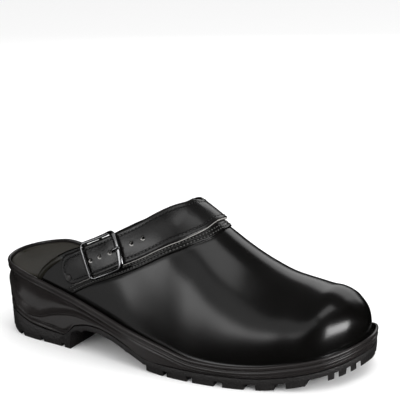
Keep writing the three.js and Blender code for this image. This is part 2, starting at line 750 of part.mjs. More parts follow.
function upperFaces(points, rowCount, width, index) {
  const half = rowCount * width;
  const faces = [];
  const reach = (a, b) => Math.hypot(...points[a].map((value, i) => value - points[b][i]));
  const quad = (a, b, c, d) => {
    const short = reach(a, c) < reach(b, d);
    for (const face of short ? [[a, c, b], [a, d, c]] : [[a, d, b], [b, d, c]]) {
      if (new Set(face).size === 3) faces.push(face);
    }
  };
  for (let r = 0; r < rowCount - 1; r += 1) {
    for (let c = 0; c < width - 1; c += 1) {
      const [a, b, d, e] = [index(r, c), index(r, c + 1), index(r + 1, c + 1), index(r + 1, c)];
      quad(a, b, d, e);
      if (r !== PANEL_ROWS) quad(a + half, e + half, d + half, b + half);
    }
    for (const [c, side] of [[0, 1], [width - 1, -1]]) {
      const [a, e] = [index(r, c), index(r + 1, c)];
      if (side > 0) quad(a, e, e + half, a + half);
      else quad(a, a + half, e + half, e);
    }
  }
  for (let c = 0; c < width - 1; c += 1) {
    quad(index(0, c), index(0, c) + half, index(0, c + 1) + half, index(0, c + 1));
  }
  return faces;
}

// Points closer than a hundredth of a millimetre become one, and faces that vanish are dropped
function weld(points, faces) {
  const seen = new Map();
  const kept = [];
  const names = points.map((point) => {
    const key = point.map((value) => Math.round(value * 100)).join();
    if (!seen.has(key)) {
      seen.set(key, kept.length);
      kept.push(point);
    }
    return seen.get(key);
  });
  const live = faces.map((face) => face.map((i) => names[i])).filter((face) => new Set(face).size === 3);
  return [kept, live];
}

// A place on the strap's course: along from 0 at the tab's round end to 2 at the medial end,
// across in millimetres from the centre line, height in millimetres above the leather
const strapCurve = (name) => curve(STRAP_ROWS, "along", name);
const strapLow = strapCurve("low");
const strapLowTurn = strapCurve("lowTurn");
const strapHigh = strapCurve("high");
const strapHighTurn = strapCurve("highTurn");

function onStrap(along, across, height) {
  const medial = along > 1;
  const part = medial ? 2 - along : along;
  const low = { x: place(strapLow(part)), turn: strapLowTurn(part) };
  const high = { x: place(strapHigh(part)), turn: strapHighTurn(part) };
  const width = upperPoint(low.x, low.turn).distanceTo(upperPoint(high.x, high.turn));
  const mix = 0.5 + across / width;
  const x = lerp(low.x, high.x, mix) + (medial ? MEDIAL_SHIFT * (1 - part) : 0);
  const turn = lerp(low.turn, high.turn, mix);
  const side = medial ? 1 - turn : turn;
  return upperPoint(x, side).addScaledVector(upperNormal(x, side), height);
}

// Distances along the centre line
const STRAP_STEPS = 160;
const STRAP_LINE = Array.from({ length: STRAP_STEPS + 1 }, (_, i) => onStrap((2 * i) / STRAP_STEPS, 0, 0));
const STRAP_RUN = STRAP_LINE.reduce((list, point, i) => {
  list.push(i === 0 ? 0 : list[i - 1] + point.distanceTo(STRAP_LINE[i - 1]));
  return list;
}, []);
const STRAP_END = STRAP_RUN[STRAP_STEPS];

function alongAt(distance) {
  let i = 0;
  while (i < STRAP_STEPS - 1 && STRAP_RUN[i + 1] < distance) i += 1;
  const part = (distance - STRAP_RUN[i]) / (STRAP_RUN[i + 1] - STRAP_RUN[i]);
  return (2 * (i + part)) / STRAP_STEPS;
}

const TAB_END = BUCKLE_DISTANCE - CENTRE_BAR_WIRE / 2 - GAP;
const BAR_HEIGHT = GAP + CENTRE_BAR_WIRE;

// How high the strap's underside lies: over the tab and the centre bar, then down to the leather
function strapRaise(distance) {
  const fall = BUCKLE_DISTANCE + CENTRE_BAR_WIRE;
  const down = smoothstep(distance, fall, fall + STRAP_FALL);
  return lerp(BAR_HEIGHT + GAP, GAP, down);
}

// A band laid along the centre line between two distances. Each end is rounded over its own
// length, or cut straight where that is 0.
function bandGeometry(from, to, width, thickness, raise, startTip, endTip) {
  const steps = Math.ceil((to - from) / 6);
  const columns = 4;
  const cut = (distance) => {
    const nearStart = startTip > 0 ? (distance - from) / startTip : 1;
    const nearEnd = endTip > 0 ? (to - distance) / endTip : 1;
    const near = clamp(Math.min(nearStart, nearEnd), 0, 1);
    return Math.sqrt(1 - (1 - near) ** 2);
  };
  const stops = [];
  for (let i = 0; i <= steps; i += 1) stops.push(lerp(from, to, i / steps));
  for (const part of [0.02, 0.1, 0.22, 0.4, 0.62, 0.82]) {
    if (startTip > 0) stops.push(from + part * startTip);
    if (endTip > 0) stops.push(to - part * endTip);
  }
  const least = 0.05;
  const list = stops.sort((a, b) => a - b)
    .filter((stop) => cut(stop) > least)
    .filter((stop, i, all) => i === 0 || stop - all[i - 1] > least);
  const points = [];
  for (const level of [0, thickness]) {
    for (const stop of list) {
      for (let c = 0; c <= columns; c += 1) {
        const across = ((c / columns - 0.5) * width) * cut(stop);
        points.push(onStrap(alongAt(stop), across, raise(stop) + level).toArray());
      }
    }
  }
  return meshFrom(points, bandFaces(list.length, columns + 1));
}

function bandFaces(rows, width) {
  const top = rows * width;
  const faces = [];
  const quad = (a, b, c, d) => faces.push([a, b, c], [a, c, d]);
  for (let r = 0; r < rows - 1; r += 1) {
    for (let c = 0; c < width - 1; c += 1) {
      const a = r * width + c;
      quad(a, a + 1, a + width + 1, a + width);
      quad(top + a, top + a + width, top + a + width + 1, top + a + 1);
    }
    const left = r * width;
    const right = left + width - 1;
    quad(left, left + width, top + left + width, top + left);
    quad(right, top + right, top + right + width, right + width);
  }
  for (let c = 0; c < width - 1; c += 1) {
    const end = (rows - 1) * width + c;
    quad(c, top + c, top + c + 1, c + 1);
    quad(end, end + 1, top + end + 1, top + end);
  }
  return faces;
}

// A round bar through points, with flat ends, or closed on itself
function barGeometry(line, wire, closed) {
  const sides = 8;
  const count = line.length;
  const points = [];
  const around = line.map((_, i) => {
    const ahead = line[closed ? (i + 1) % count : Math.min(i + 1, count - 1)];
    const behind = line[closed ? (i + count - 1) % count : Math.max(i - 1, 0)];
    return ahead.point.clone().sub(behind.point).normalize();
  });
  line.forEach(({ point, up }, i) => {
    const across = around[i].clone().cross(up).normalize();
    const upright = across.clone().cross(around[i]).normalize();
    for (let s = 0; s < sides; s += 1) {
      const angle = (2 * Math.PI * (s + 0.5)) / sides;
      points.push(point.clone()
        .addScaledVector(across, (Math.cos(angle) * wire) / 2)
        .addScaledVector(upright, (Math.sin(angle) * wire) / 2).toArray());
    }
  });
  const faces = [];
  const spans = closed ? count : count - 1;
  for (let i = 0; i < spans; i += 1) {
    for (let s = 0; s < sides; s += 1) {
      const next = (s + 1) % sides;
      const here = i * sides;
      const there = ((i + 1) % count) * sides;
      faces.push([here + s, there + next, here + next], [here + s, there + s, there + next]);
    }
  }
  if (!closed) {
    const end = (count - 1) * sides;
    for (let s = 1; s < sides - 1; s += 1) {
      faces.push([0, s, s + 1], [end, end + s + 1, end + s]);
    }
  }
  return meshFrom(points, faces);
}

function buckleStop(distance, across, height) {
  const along = alongAt(distance);
  const point = onStrap(along, across, height);
  const up = onStrap(along, across, height + 1).sub(point).normalize();
  return { point, up };
}

const END_BAR_HEIGHT = BAR_HEIGHT + 2 * GAP + STRAP_THICKNESS + BUCKLE_WIRE / 2;

// The frame is a rounded rectangle with a bowed front bar. It is bent so that its end bars
// pass over the strap and the middle of its sides comes down to the centre bar under it.
function buckleFrameGeometry() {
  const long = (BUCKLE_LENGTH - BUCKLE_WIRE) / 2;
  const wide = (BUCKLE_WIDTH - BUCKLE_WIRE) / 2;
  const low = GAP + CENTRE_BAR_WIRE / 2 + (BUCKLE_WIRE - CENTRE_BAR_WIRE) / 2;
  const loop = new THREE.Path();
  const corner = BUCKLE_CORNER;
  loop.moveTo(long, 0);
  loop.lineTo(long, wide - corner);
  loop.absarc(long - corner, wide - corner, corner, 0, Math.PI / 2);
  loop.lineTo(-long + corner, wide);
  loop.absarc(-long + corner, wide - corner, corner, Math.PI / 2, Math.PI);
  loop.lineTo(-long, -wide + corner);
  loop.absarc(-long + corner, -wide + corner, corner, Math.PI, 1.5 * Math.PI);
  loop.lineTo(long - corner, -wide);
  loop.absarc(long - corner, -wide + corner, corner, 1.5 * Math.PI, 2 * Math.PI);
  loop.closePath();
  const line = loop.getSpacedPoints(44).slice(0, -1).map(({ x, y }) => {
    const bend = smoothstep(Math.abs(x), CENTRE_BAR_WIRE, long - corner / 2);
    const bow = x > long - corner ? BUCKLE_BOW * (1 - (y / wide) ** 2) : 0;
    return buckleStop(BUCKLE_DISTANCE + x + bow, y, lerp(low, END_BAR_HEIGHT, bend));
  });
  const frame = toManifold(barGeometry(line, BUCKLE_WIRE, true));
  const bar = [-1, -0.5, 0, 0.5, 1].map((part) => buckleStop(BUCKLE_DISTANCE, part * wide, low));
  return fromManifold(frame.add(toManifold(barGeometry(bar, CENTRE_BAR_WIRE, false))));
}

// The prong comes up through its hole in the strap and lies over the front end bar
function buckleProngGeometry() {
  const bar = BUCKLE_DISTANCE + (BUCKLE_LENGTH - BUCKLE_WIRE) / 2 + BUCKLE_BOW;
  const low = strapRaise(PRONG_DISTANCE) + STRAP_THICKNESS + GAP + PRONG_WIRE / 2;
  const top = END_BAR_HEIGHT + BUCKLE_WIRE / 2 + GAP + PRONG_WIRE / 2;
  const line = [
    buckleStop(PRONG_DISTANCE, 0, low),
    buckleStop(lerp(PRONG_DISTANCE, bar, 0.45), 0, lerp(low, top, 0.6)),
    buckleStop(bar - 1, 0, top),
    buckleStop(bar + 1.5, 0, top),
  ];
  return barGeometry(line, PRONG_WIRE, false);
}

// A rivet's domed head, standing on the leather
function rivetGeometry(distance, height) {
  const radius = RIVET_DIAMETER / 2;
  const profile = [[0, 0], [0.85, 0], [1, 0.3], [0.85, 0.65], [0.5, 0.92], [0, 1]]
    .map(([r, z]) => new THREE.Vector2(r * radius, z * RIVET_HEIGHT));
  const geometry = new THREE.LatheGeometry(profile, 16);
  const { point, up } = buckleStop(distance, RIVET_ACROSS, height);
  geometry.applyQuaternion(new THREE.Quaternion().setFromUnitVectors(new THREE.Vector3(0, 1, 0), up));
  geometry.translate(point.x, point.y, point.z);
  return fromManifold(toManifold(geometry));
}

function finish(color, roughness, metalness) {
  return new THREE.MeshStandardMaterial({ color, roughness, metalness });
}

const leather = finish(0x17171a, 0.3, 0);
const rubber = finish(0x26211f, 0.55, 0);
const footbed = finish(0x2e2b22, 0.7, 0);
const metal = finish(0x5a5a5e, 0.25, 1);

const clog = new THREE.Group();
function add(name, geometry, material) {
  const mesh = new THREE.Mesh(geometry, material);
  mesh.name = name;
  clog.add(mesh);
}

const strap = bandGeometry(
  STRAP_START, STRAP_END, STRAP_WIDTH, STRAP_THICKNESS, strapRaise, STRAP_TIP, STRAP_WIDTH / 2);
const tab = bandGeometry(0, TAB_END, TAB_WIDTH, TAB_THICKNESS, () => GAP, TAB_TIP, 0);
add("outsole", outsoleGeometry(), rubber);
add("midsole", midsoleGeometry(), rubber);
add("insole", insoleGeometry(), footbed);
add("upper", upperGeometry(), leather);
add("strap", strap, leather);
add("buckle_tab", tab, leather);
add("buckle_frame", buckleFrameGeometry(), metal);
add("buckle_prong", buckleProngGeometry(), metal);
add("rivet_lateral", rivetGeometry(RIVET_DISTANCE, 2 * GAP + TAB_THICKNESS), metal);
add("rivet_medial", rivetGeometry(STRAP_END - RIVET_DISTANCE, 2 * GAP + STRAP_THICKNESS), metal);

export default clog;
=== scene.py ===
# %% [markdown]
# # A chef clog, dressed for a photograph
# A chef clog is a closed toe of polished black leather on a moulded rubber sole, with one
# buckled strap over the instep. The CAD model gives every piece its true shape and place, but
# its faces are flat and few. This lesson keeps that frame and rebuilds what the eye rests on.
# The frame is loaded first.

import math

import bmesh
import bpy
import numpy as np
from mathutils import Matrix, Vector


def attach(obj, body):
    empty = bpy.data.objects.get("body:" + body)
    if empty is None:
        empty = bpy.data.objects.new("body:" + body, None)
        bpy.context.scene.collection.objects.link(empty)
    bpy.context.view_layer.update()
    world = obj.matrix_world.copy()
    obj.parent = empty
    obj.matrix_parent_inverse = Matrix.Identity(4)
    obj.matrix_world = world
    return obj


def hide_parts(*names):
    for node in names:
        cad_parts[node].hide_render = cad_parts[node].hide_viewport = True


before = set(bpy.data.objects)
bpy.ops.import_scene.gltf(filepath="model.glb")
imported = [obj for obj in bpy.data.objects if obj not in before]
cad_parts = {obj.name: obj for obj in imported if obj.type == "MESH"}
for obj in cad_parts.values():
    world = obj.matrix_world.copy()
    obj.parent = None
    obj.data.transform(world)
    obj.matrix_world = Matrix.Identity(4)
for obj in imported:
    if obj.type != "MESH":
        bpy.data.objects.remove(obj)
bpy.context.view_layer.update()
MM = 0.001
print("CAD nodes:", ", ".join(sorted(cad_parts)))

# %% [markdown]
# ## The camera
# A product photographer uses a long lens from a few steps away, so that the toe doesn't swell.
# The camera's place was found by fitting one view to the sole's outline. It could be written as
# a matrix, but it is written as a turn about the clog, a height above the floor, a small
# roll, and a slide across the view, because those numbers can be changed one by one.

# %% Camera
AZIMUTH, ELEVATION, ROLL = math.radians(31.80), math.radians(15.66), math.radians(-3.0)
CAMERA_DISTANCE, CAMERA_RIGHT, CAMERA_UP = 768.8, 18.07, 101.25
LENS_MM, SENSOR_MM = 97.54, 36


def towards(azimuth, elevation):
    """The unit vector from the clog to a place that is turned from -Y towards +X, and raised."""
    return Vector((math.sin(azimuth) * math.cos(elevation), -math.cos(azimuth) * math.cos(elevation),
                   math.sin(elevation)))


back = towards(AZIMUTH, ELEVATION)
right = (-back).cross(Vector((0, 0, 1))).normalized()
up = right.cross(-back)
place = (back * CAMERA_DISTANCE + right * CAMERA_RIGHT + up * CAMERA_UP) * MM
rolled_right = right * math.cos(ROLL) + up * math.sin(ROLL)
rolled_up = up * math.cos(ROLL) - right * math.sin(ROLL)
camera_turn = Matrix((rolled_right, rolled_up, back)).transposed().to_4x4()

camera = bpy.data.objects.new("camera", bpy.data.cameras.new("camera"))
camera.data.lens, camera.data.sensor_width = LENS_MM, SENSOR_MM
camera.matrix_world = Matrix.Translation(place) @ camera_turn
bpy.context.collection.objects.link(camera)
bpy.context.scene.camera = camera
print("camera stands", round(place.length, 3), "m from the clog")

# %% [markdown]
# ## Node maths that reads like maths
# A shader is a graph, and a graph is tiresome to build one link at a time. A small class wraps
# an output socket and answers to plus, minus, times and divided by, from either side, so that
# a mask can be written as an expression. Every other node comes from one method, which sets
# the node's own settings first and then its sockets.

# %% A wrapped socket
class Wire:
    """One output of a node, in a shader or in a geometry tree."""

    def __init__(self, tree, socket=None):
        self.tree, self.socket = tree, socket

    def node(self, kind, settings=None, inputs=None, output=None):
        """A new node in the same tree, and its first live output unless another is named."""
        made = self.tree.nodes.new(kind)
        for name, value in (settings or {}).items():
            setattr(made, name, value)
        for name, value in (inputs or {}).items():
            if isinstance(value, Wire):
                self.tree.links.new(value.socket, made.inputs[name])
            else:
                made.inputs[name].default_value = value
        live = [socket for socket in made.outputs if socket.enabled]
        return Wire(self.tree, made.outputs[output] if output else live[0])

    def maths(self, operation, first, second):
        return self.node("ShaderNodeMath", {"operation": operation}, {0: first, 1: second})

    def __add__(self, other):
        return self.maths("ADD", self, other)

    __radd__ = __add__

    def __sub__(self, other):
        return self.maths("SUBTRACT", self, other)

    def __rsub__(self, other):
        return self.maths("SUBTRACT", other, self)

    def __mul__(self, other):
        return self.maths("MULTIPLY", self, other)

    __rmul__ = __mul__

    def __truediv__(self, other):
        return self.maths("DIVIDE", self, other)

    def __rtruediv__(self, other):
        return self.maths("DIVIDE", other, self)

    def noise(self, scale, detail):
        """Cloudy noise between 0 and 1, with scale in grains per metre."""
        return self.node("ShaderNodeTexNoise", {}, {"Vector": self, "Scale": scale, "Detail": detail})

    def cells(self, scale):
        """Distance to the nearest of many scattered points."""
        return self.node("ShaderNodeTexVoronoi", {}, {"Vector": self, "Scale": scale})

    def step(self, low, high):
        """A soft step from 0 to 1 between two values."""
        return self.node("ShaderNodeMapRange", {"interpolation_type": "SMOOTHSTEP"}, {
            "Value": self, "From Min": low, "From Max": high})

    def blend(self, dark, light):
        """A colour between two others."""
        return self.node("ShaderNodeMix", {"data_type": "RGBA"}, {
            "Factor": self, "A": (*dark, 1), "B": (*light, 1)})


print("a wire answers to + - * / and to noise, cells, step and blend")

# %% [markdown]
# Each finish on the clog differs from the next in three things that change over its surface:
# colour, roughness and height. So a finish is a function from a place to those three, and one
# helper joins them to a Principled shader. The heights go through a Bump node, because grain
# this fine would take millions of faces.

# %% A material from a finish
BUMP_DEPTH = 0.001


def new_material(name, finish, **constants):
    """finish takes a wired place and gives colour, roughness and height."""
    material = bpy.data.materials.new(name)
    material.use_nodes = True
    tree = material.node_tree
    shader = tree.nodes["Principled BSDF"]
    for socket, value in constants.items():
        shader.inputs[socket.replace("_", " ")].default_value = value
    spot = Wire(tree).node("ShaderNodeTexCoord", output="Object")
    colour, roughness, height = finish(spot)
    bump = spot.node("ShaderNodeBump", {}, {"Height": height, "Distance": BUMP_DEPTH, "Strength": 1.0})
    for label, wire in (("Base Color", colour), ("Roughness", roughness), ("Normal", bump)):
        tree.links.new(wire.socket, shader.inputs[label])
    print(name, "has", len(tree.nodes), "nodes")
    return material


# %% [markdown]
# ## Leather
# The vamp is smooth leather, nearly black, with a soft wide gloss and a grain so fine that it
# only breaks the edge of a highlight. A picture of leather could be wrapped round it, but
# noise has no seam and no end. Cells and fine noise make the grain, slow noise the waves of
# the hide, and a third noise nudges the roughness, because a polish never lies evenly. The
# roll at the collar is a softer hide with a trace of olive.

# %% Vamp leather and collar binding
def polished(spot):
    grain = spot.cells(1500) * 0.6 + spot.noise(3200, 3) * 0.4
    haze = spot.noise(60, 3)
    return (haze.blend((0.0012, 0.0011, 0.0010), (0.0026, 0.0024, 0.0022)),
            haze * 0.04 + 0.19, grain * 0.014 + spot.noise(26, 2) * 0.10)


def soft_binding(spot):
    nap = spot.noise(1600, 3)
    return (nap.blend((0.0065, 0.0060, 0.0040), (0.0130, 0.0118, 0.0080)),
            nap * 0.12 + 0.28, nap * 0.06)


vamp_leather = new_material("vamp_leather", polished, Specular_IOR_Level=0.45)
binding = new_material("collar_binding", soft_binding, Specular_IOR_Level=0.5)

# %% [markdown]
# The strap is cut from a stiffer hide with a coarser grain. A thin pale line under the strap is a
# painted highlight: a pale colour painted on the lower edge, for the light that edge catches, and it
# sets the strap off from the black vamp. The lining is matte and catches no highlight at all. Each
# of them is the same recipe as before with other numbers.

# %% Strap leather, painted edge highlight and lining
def strap_hide(spot):
    grain = spot.cells(1100) * 0.6 + spot.noise(2400, 3) * 0.4
    haze = spot.noise(90, 3)
    return (haze.blend((0.0028, 0.0026, 0.0026), (0.0055, 0.0052, 0.0051)),
            haze * 0.08 + 0.19, grain * 0.05 + spot.noise(70, 2) * 0.18)


# A pale colour painted on edges: a painted highlight on the strap's lower edge and the hole lips.
def painted_edge_highlight(spot):
    rough = spot.noise(500, 3)
    return (rough.blend((0.230, 0.222, 0.212), (0.380, 0.370, 0.355)),
            rough * 0.2 + 0.25, rough * 0.1)


def lining(spot):
    nap = spot.noise(2500, 4)
    return nap.blend((0.016, 0.015, 0.013), (0.032, 0.030, 0.026)), nap * 0.1 + 0.7, nap * 0.1


strap_leather = new_material("strap_leather", strap_hide, Specular_IOR_Level=0.45)
raw_edge = new_material("raw_edge", painted_edge_highlight, Specular_IOR_Level=0.6)
lining_leather = new_material("lining_leather", lining, Specular_IOR_Level=0.3)

# %% [markdown]
# ## Rubber and felt
# The sole is foamed rubber out of a metal mould. Its side is satin with a faint brown cast, and
# its tread carries the pebbled skin of the mould. The pebbles could be modelled, but they stand
# only a fraction of a millimetre high, so they belong to the bump: scattered cells, flattened
# on top by a soft step. The footbed is matte and olive brown, a touch paler at the heel.

# %% Sole, tread and footbed
def moulded(spot):
    cloud = spot.noise(35, 3)
    return (cloud.blend((0.0095, 0.0083, 0.0081), (0.0165, 0.0145, 0.0141)),
            cloud * 0.10 + 0.20, spot.noise(900, 3) * 0.05 + cloud * 0.15)


def pebbled(spot):
    pebbles = spot.cells(620).step(0.15, 0.75)
    dust = spot.noise(45, 4)
    return (dust.blend((0.0080, 0.0073, 0.0072), (0.0180, 0.0164, 0.0162)),
            dust * 0.15 + 0.42, pebbles * -0.22 + spot.noise(1500, 2) * 0.03)


def felted(spot):
    nap = spot.noise(1800, 4)
    length_wise = spot.node("ShaderNodeSeparateXYZ", {}, {0: spot})
    heel = length_wise.step(-0.02, -0.12) * 0.6 + spot.noise(40, 3) * 0.4
    return (heel.blend((0.012, 0.0105, 0.0075), (0.026, 0.0225, 0.0155)),
            nap * 0.15 + 0.55, nap * 0.12)


sole_rubber = new_material("sole_rubber", moulded, Specular_IOR_Level=0.5)
tread_rubber = new_material("tread_rubber", pebbled, Specular_IOR_Level=0.45)
footbed_felt = new_material("footbed_felt", felted, Specular_IOR_Level=0.35)

# %% [markdown]
# ## Steel, enamel and thread
# The buckle is steel with a dark polish, which means a metal whose own colour is a mid grey and
# whose scratches all run one way, so its noise is stretched by a Mapping node. The rivets are
# enamelled black. Waxed thread is a dull twist. The twist in the two seam rows is a grey one,
# and one function makes both, with the two colours as its arguments.

# %% Steel, enamel and thread
def dark_polish(spot):
    stretched = spot.node("ShaderNodeMapping", {}, {"Vector": spot, "Scale": (300, 2500, 2500)})
    scratches = stretched.noise(1.0, 3)
    return (scratches.blend((0.14, 0.14, 0.144), (0.25, 0.25, 0.255)),
            scratches * 0.10 + 0.08, scratches * 0.02)


def enamel(spot):
    worn = spot.noise(700, 3)
    return worn.blend((0.012, 0.012, 0.012), (0.03, 0.028, 0.027)), worn * 0.2 + 0.28, worn * 0.03


def twisted(dark, light, unevenness, dullness, relief):
    def finish(spot):
        twist = spot.noise(2600, 2)
        return twist.blend(dark, light), twist * unevenness + dullness, twist * relief

    return finish


steel = new_material("dark_steel", dark_polish, Metallic=1.0)
black_enamel = new_material("black_enamel", enamel, Specular_IOR_Level=0.5)
waxed = twisted((0.0012, 0.0012, 0.0012), (0.0050, 0.0049, 0.0047), 0.2, 0.4, 0.08)
grey_twist = twisted((0.020, 0.020, 0.019), (0.060, 0.059, 0.057), 0.15, 0.25, 0.05)
thread = new_material("waxed_thread", waxed, Specular_IOR_Level=0.4)
seam_thread = new_material("seam_thread", grey_twist, Specular_IOR_Level=0.6)

# %% [markdown]
# ## The last, as numbers
# A shoe is built round a last, so everything here is too. The sizes are in millimetres and are
# those of the CAD source. A table has a station along the sole in each row, as a share of the
# length, and shares of the named sizes in its columns. A mesh could be sculpted over the
# CAD solids instead, but a rule can be asked for more points wherever the eye needs them.

# %% Stations of the sole
LENGTH, BALL_WIDTH = 282, 106
# Columns: place, half width on the medial and on the lateral side, rise of the rim to the heel
# and to the toe, top of the outsole, and the crease's place on the wall.
SOLE = np.array([
    [0.000, -0.009, 0.009, 1.000, 0.000, 1.000, 0.930],
    [0.018, 0.165, 0.184, 1.000, 0.000, 1.000, 0.860],
    [0.066, 0.297, 0.311, 0.995, 0.000, 0.955, 0.485],
    [0.131, 0.342, 0.357, 0.897, 0.000, 0.650, 0.317],
    [0.202, 0.353, 0.375, 0.780, 0.000, 0.530, 0.500],
    [0.280, 0.365, 0.400, 0.659, 0.000, 0.520, 0.550],
    [0.365, 0.377, 0.430, 0.496, 0.000, 0.520, 0.620],
    [0.457, 0.399, 0.471, 0.326, 0.000, 0.520, 0.700],
    [0.550, 0.442, 0.492, 0.165, 0.000, 0.520, 0.700],
    [0.642, 0.488, 0.500, 0.023, 0.000, 0.520, 0.700],
    [0.720, 0.500, 0.479, 0.000, 0.000, 0.520, 0.700],
    [0.791, 0.480, 0.437, 0.000, 0.059, 0.520, 0.700],
    [0.855, 0.453, 0.380, 0.000, 0.254, 0.520, 0.700],
    [0.908, 0.415, 0.316, 0.000, 0.458, 0.520, 0.700],
    [0.950, 0.371, 0.226, 0.000, 0.670, 0.520, 0.700],
    [0.982, 0.292, 0.092, 0.000, 0.880, 0.520, 0.700],
    [1.000, 0.104, -0.104, 0.000, 1.000, 0.520, 0.700],
]).T
# Columns: place between the heel's breast and the forefoot, and how far the arch has risen.
ARCH = np.array([
    [0.000, 0.540], [0.090, 0.760], [0.240, 0.960], [0.360, 1.000], [0.500, 0.920],
    [0.650, 0.740], [0.790, 0.480], [0.930, 0.160], [1.050, 0.000],
]).T
print(SOLE.shape[1], "stations,", ARCH.shape[1], "points along the arch")

# %% Sections of the foot, and the cut lines
# Columns: place, share of the instep's height, share of the toe box's height, how far the ridge
# leans to the medial side, and the power of the section.
SECTIONS = np.array([
    [0.110, 1.640, 0.000, 0.000, 2.000],
    [0.216, 1.450, 0.000, 0.009, 2.000],
    [0.340, 1.295, 0.000, 0.019, 2.000],
    [0.465, 1.140, 0.000, 0.038, 1.950],
    [0.557, 1.000, 0.000, 0.057, 1.900],
    [0.613, 0.750, 0.255, 0.066, 1.850],
    [0.670, 0.480, 0.537, 0.066, 1.850],
    [0.727, 0.250, 0.780, 0.066, 1.900],
    [0.784, 0.100, 0.925, 0.066, 2.000],
    [0.840, 0.020, 1.000, 0.066, 2.150],
    [0.890, 0.000, 1.000, 0.057, 2.300],
    [0.929, 0.000, 0.975, 0.047, 2.450],
    [0.961, 0.000, 0.930, 0.028, 2.500],
    [0.990, 0.000, 0.860, 0.000, 2.500],
]).T
# Columns: turn round the foot, and the places of the lateral collar, medial collar and seam.
CUTS = np.array([
    [0.000, 0.149, 0.149, 0.261],
    [0.030, 0.174, 0.182, 0.303],
    [0.060, 0.207, 0.221, 0.345],
    [0.100, 0.261, 0.277, 0.401],
    [0.150, 0.337, 0.341, 0.462],
    [0.200, 0.396, 0.398, 0.512],
    [0.260, 0.450, 0.453, 0.557],
    [0.320, 0.490, 0.499, 0.590],
    [0.400, 0.531, 0.537, 0.621],
    [0.500, 0.551, 0.551, 0.634],
]).T
print(SECTIONS.shape[1], "sections,", CUTS.shape[1], "points along each cut")

# %% [markdown]
# Straight lines between the stations would leave corners, and an ordinary spline swings past its
# points, which on a shoe makes a dent beside every bump. The curve below keeps the slope at
# each point below both of its neighbours', so it never swings. The outline is one closed
# loop, heel to toe and back, and it can be asked for itself or for a line inside it.

# %% Curves through a table
def curve(x, y):
    """A smooth curve through points that never swings past them."""
    rise = np.diff(y) / np.diff(x)
    before, after = np.r_[rise[0], rise], np.r_[rise, rise[-1]]
    product = before * after
    slope = np.where(product > 0, 2 * product / np.where(product > 0, before + after, 1), 0)

    def at(t):
        t = np.clip(t, x[0], x[-1])
        i = np.clip(np.searchsorted(x, t) - 1, 0, len(x) - 2)
        width = x[i + 1] - x[i]
        f = (t - x[i]) / width
        leave = (2 * f**3 - 3 * f**2 + 1) * y[i] + (f**3 - 2 * f**2 + f) * width * slope[i]
        reach = (3 * f**2 - 2 * f**3) * y[i + 1] + (f**3 - f**2) * width * slope[i + 1]
        return leave + reach

    return at


def along(share):
    return (share - 0.5) * LENGTH


def over_length(table, column):
    at = curve(table[0], table[column])
    return lambda x: at(np.asarray(x) / LENGTH + 0.5)


def soft_step(x, low, high):
    t = np.clip((x - low) / (high - low), 0, 1)
    return t * t * (3 - 2 * t)


def mix(a, b, t):
    return a + (b - a) * t


print("halfway from 2 to 6 is", mix(2, 6, 0.5), "and the soft step there is", float(soft_step(4, 2, 6)))

# %% The outline of the sole
LAST_ROW = SOLE.shape[1] - 1
LOOP = np.r_[
    np.c_[along(SOLE[0]), SOLE[1] * BALL_WIDTH],
    np.c_[along(SOLE[0][-2:0:-1]), -SOLE[2][-2:0:-1] * BALL_WIDTH],
]


def outline(station):
    """Places on the outline, by a number that runs up the medial side and back down the lateral."""
    whole = np.floor(station).astype(int)
    f = (station - whole)[..., None]
    a, b, c, d = (LOOP[(whole + step) % len(LOOP)] for step in (-1, 0, 1, 2))
    return 0.5 * (2 * b + (c - a) * f + (2 * a - 5 * b + 4 * c - d) * f**2
                  + (3 * b - a - 3 * c + d) * f**3)


def inset_outline(station, inset):
    """The outline moved inwards by a distance, or by a function of x."""
    step = 0.01
    point = outline(station)
    run = outline(station + step) - outline(station - step)
    run /= np.linalg.norm(run, axis=-1, keepdims=True)
    depth = np.broadcast_to(inset(point[..., 0]) if callable(inset) else inset, point.shape[:-1])
    return point + np.stack([run[..., 1], -run[..., 0]], -1) * depth[..., None]


whole_outline = outline(np.linspace(0, len(LOOP), 641))
print("sole outline is", round(float(np.ptp(whole_outline[:, 0])), 1), "mm long")

# %% Heights along the sole
HEEL_RIM, BALL_RIM, TOE_RIM = 54.5, 15.8, 27.6
TOE_SPRING, SPRING_LENGTH, SPRING_POWER, ARCH_HEIGHT = 11, 65, 1.7, 18.4
HEEL_LIFT, OUTSOLE_BASE, TREAD_DEPTH, HEEL_TREAD_DEPTH, GAP = 17.8, 3.6, 4, 3, 0.3
HEEL_LENGTH, FOREFOOT_START, BREAST_RUN, SPLIT_RUN = 72.5, 144, 2, 6
BREAST, FOREFOOT = along(0) + HEEL_LENGTH, along(0) + FOREFOOT_START
heel_rim, toe_rim, lift, crease_share = (over_length(SOLE, column) for column in (3, 4, 5, 6))
arch_rise = curve(*ARCH)


def rim(x):
    return BALL_RIM + (HEEL_RIM - BALL_RIM) * heel_rim(x) + (TOE_RIM - BALL_RIM) * toe_rim(x)


def spring(x):
    risen = np.maximum((x - along(1) + SPRING_LENGTH) / SPRING_LENGTH, 0)
    return TOE_SPRING * risen**SPRING_POWER


def base(x):
    arch = TREAD_DEPTH + (ARCH_HEIGHT - TREAD_DEPTH) * arch_rise((x - BREAST) / (FOREFOOT - BREAST))
    return mix(HEEL_TREAD_DEPTH, arch + spring(x), np.clip((x - BREAST) / BREAST_RUN, 0, 1))


def split(x):
    front = base(np.maximum(x, BREAST + BREAST_RUN)) + OUTSOLE_BASE
    return mix(HEEL_LIFT * lift(x), front, soft_step(x, BREAST - SPLIT_RUN, BREAST + SPLIT_RUN))


def midsole_foot(x):
    return split(x) + GAP * np.hypot(1, split(x + 0.5) - split(x - 0.5))


print("the rim stands", round(float(rim(along(0))), 1), "mm high at the heel,",
      round(float(rim(along(1))), 1), "mm at the toe")

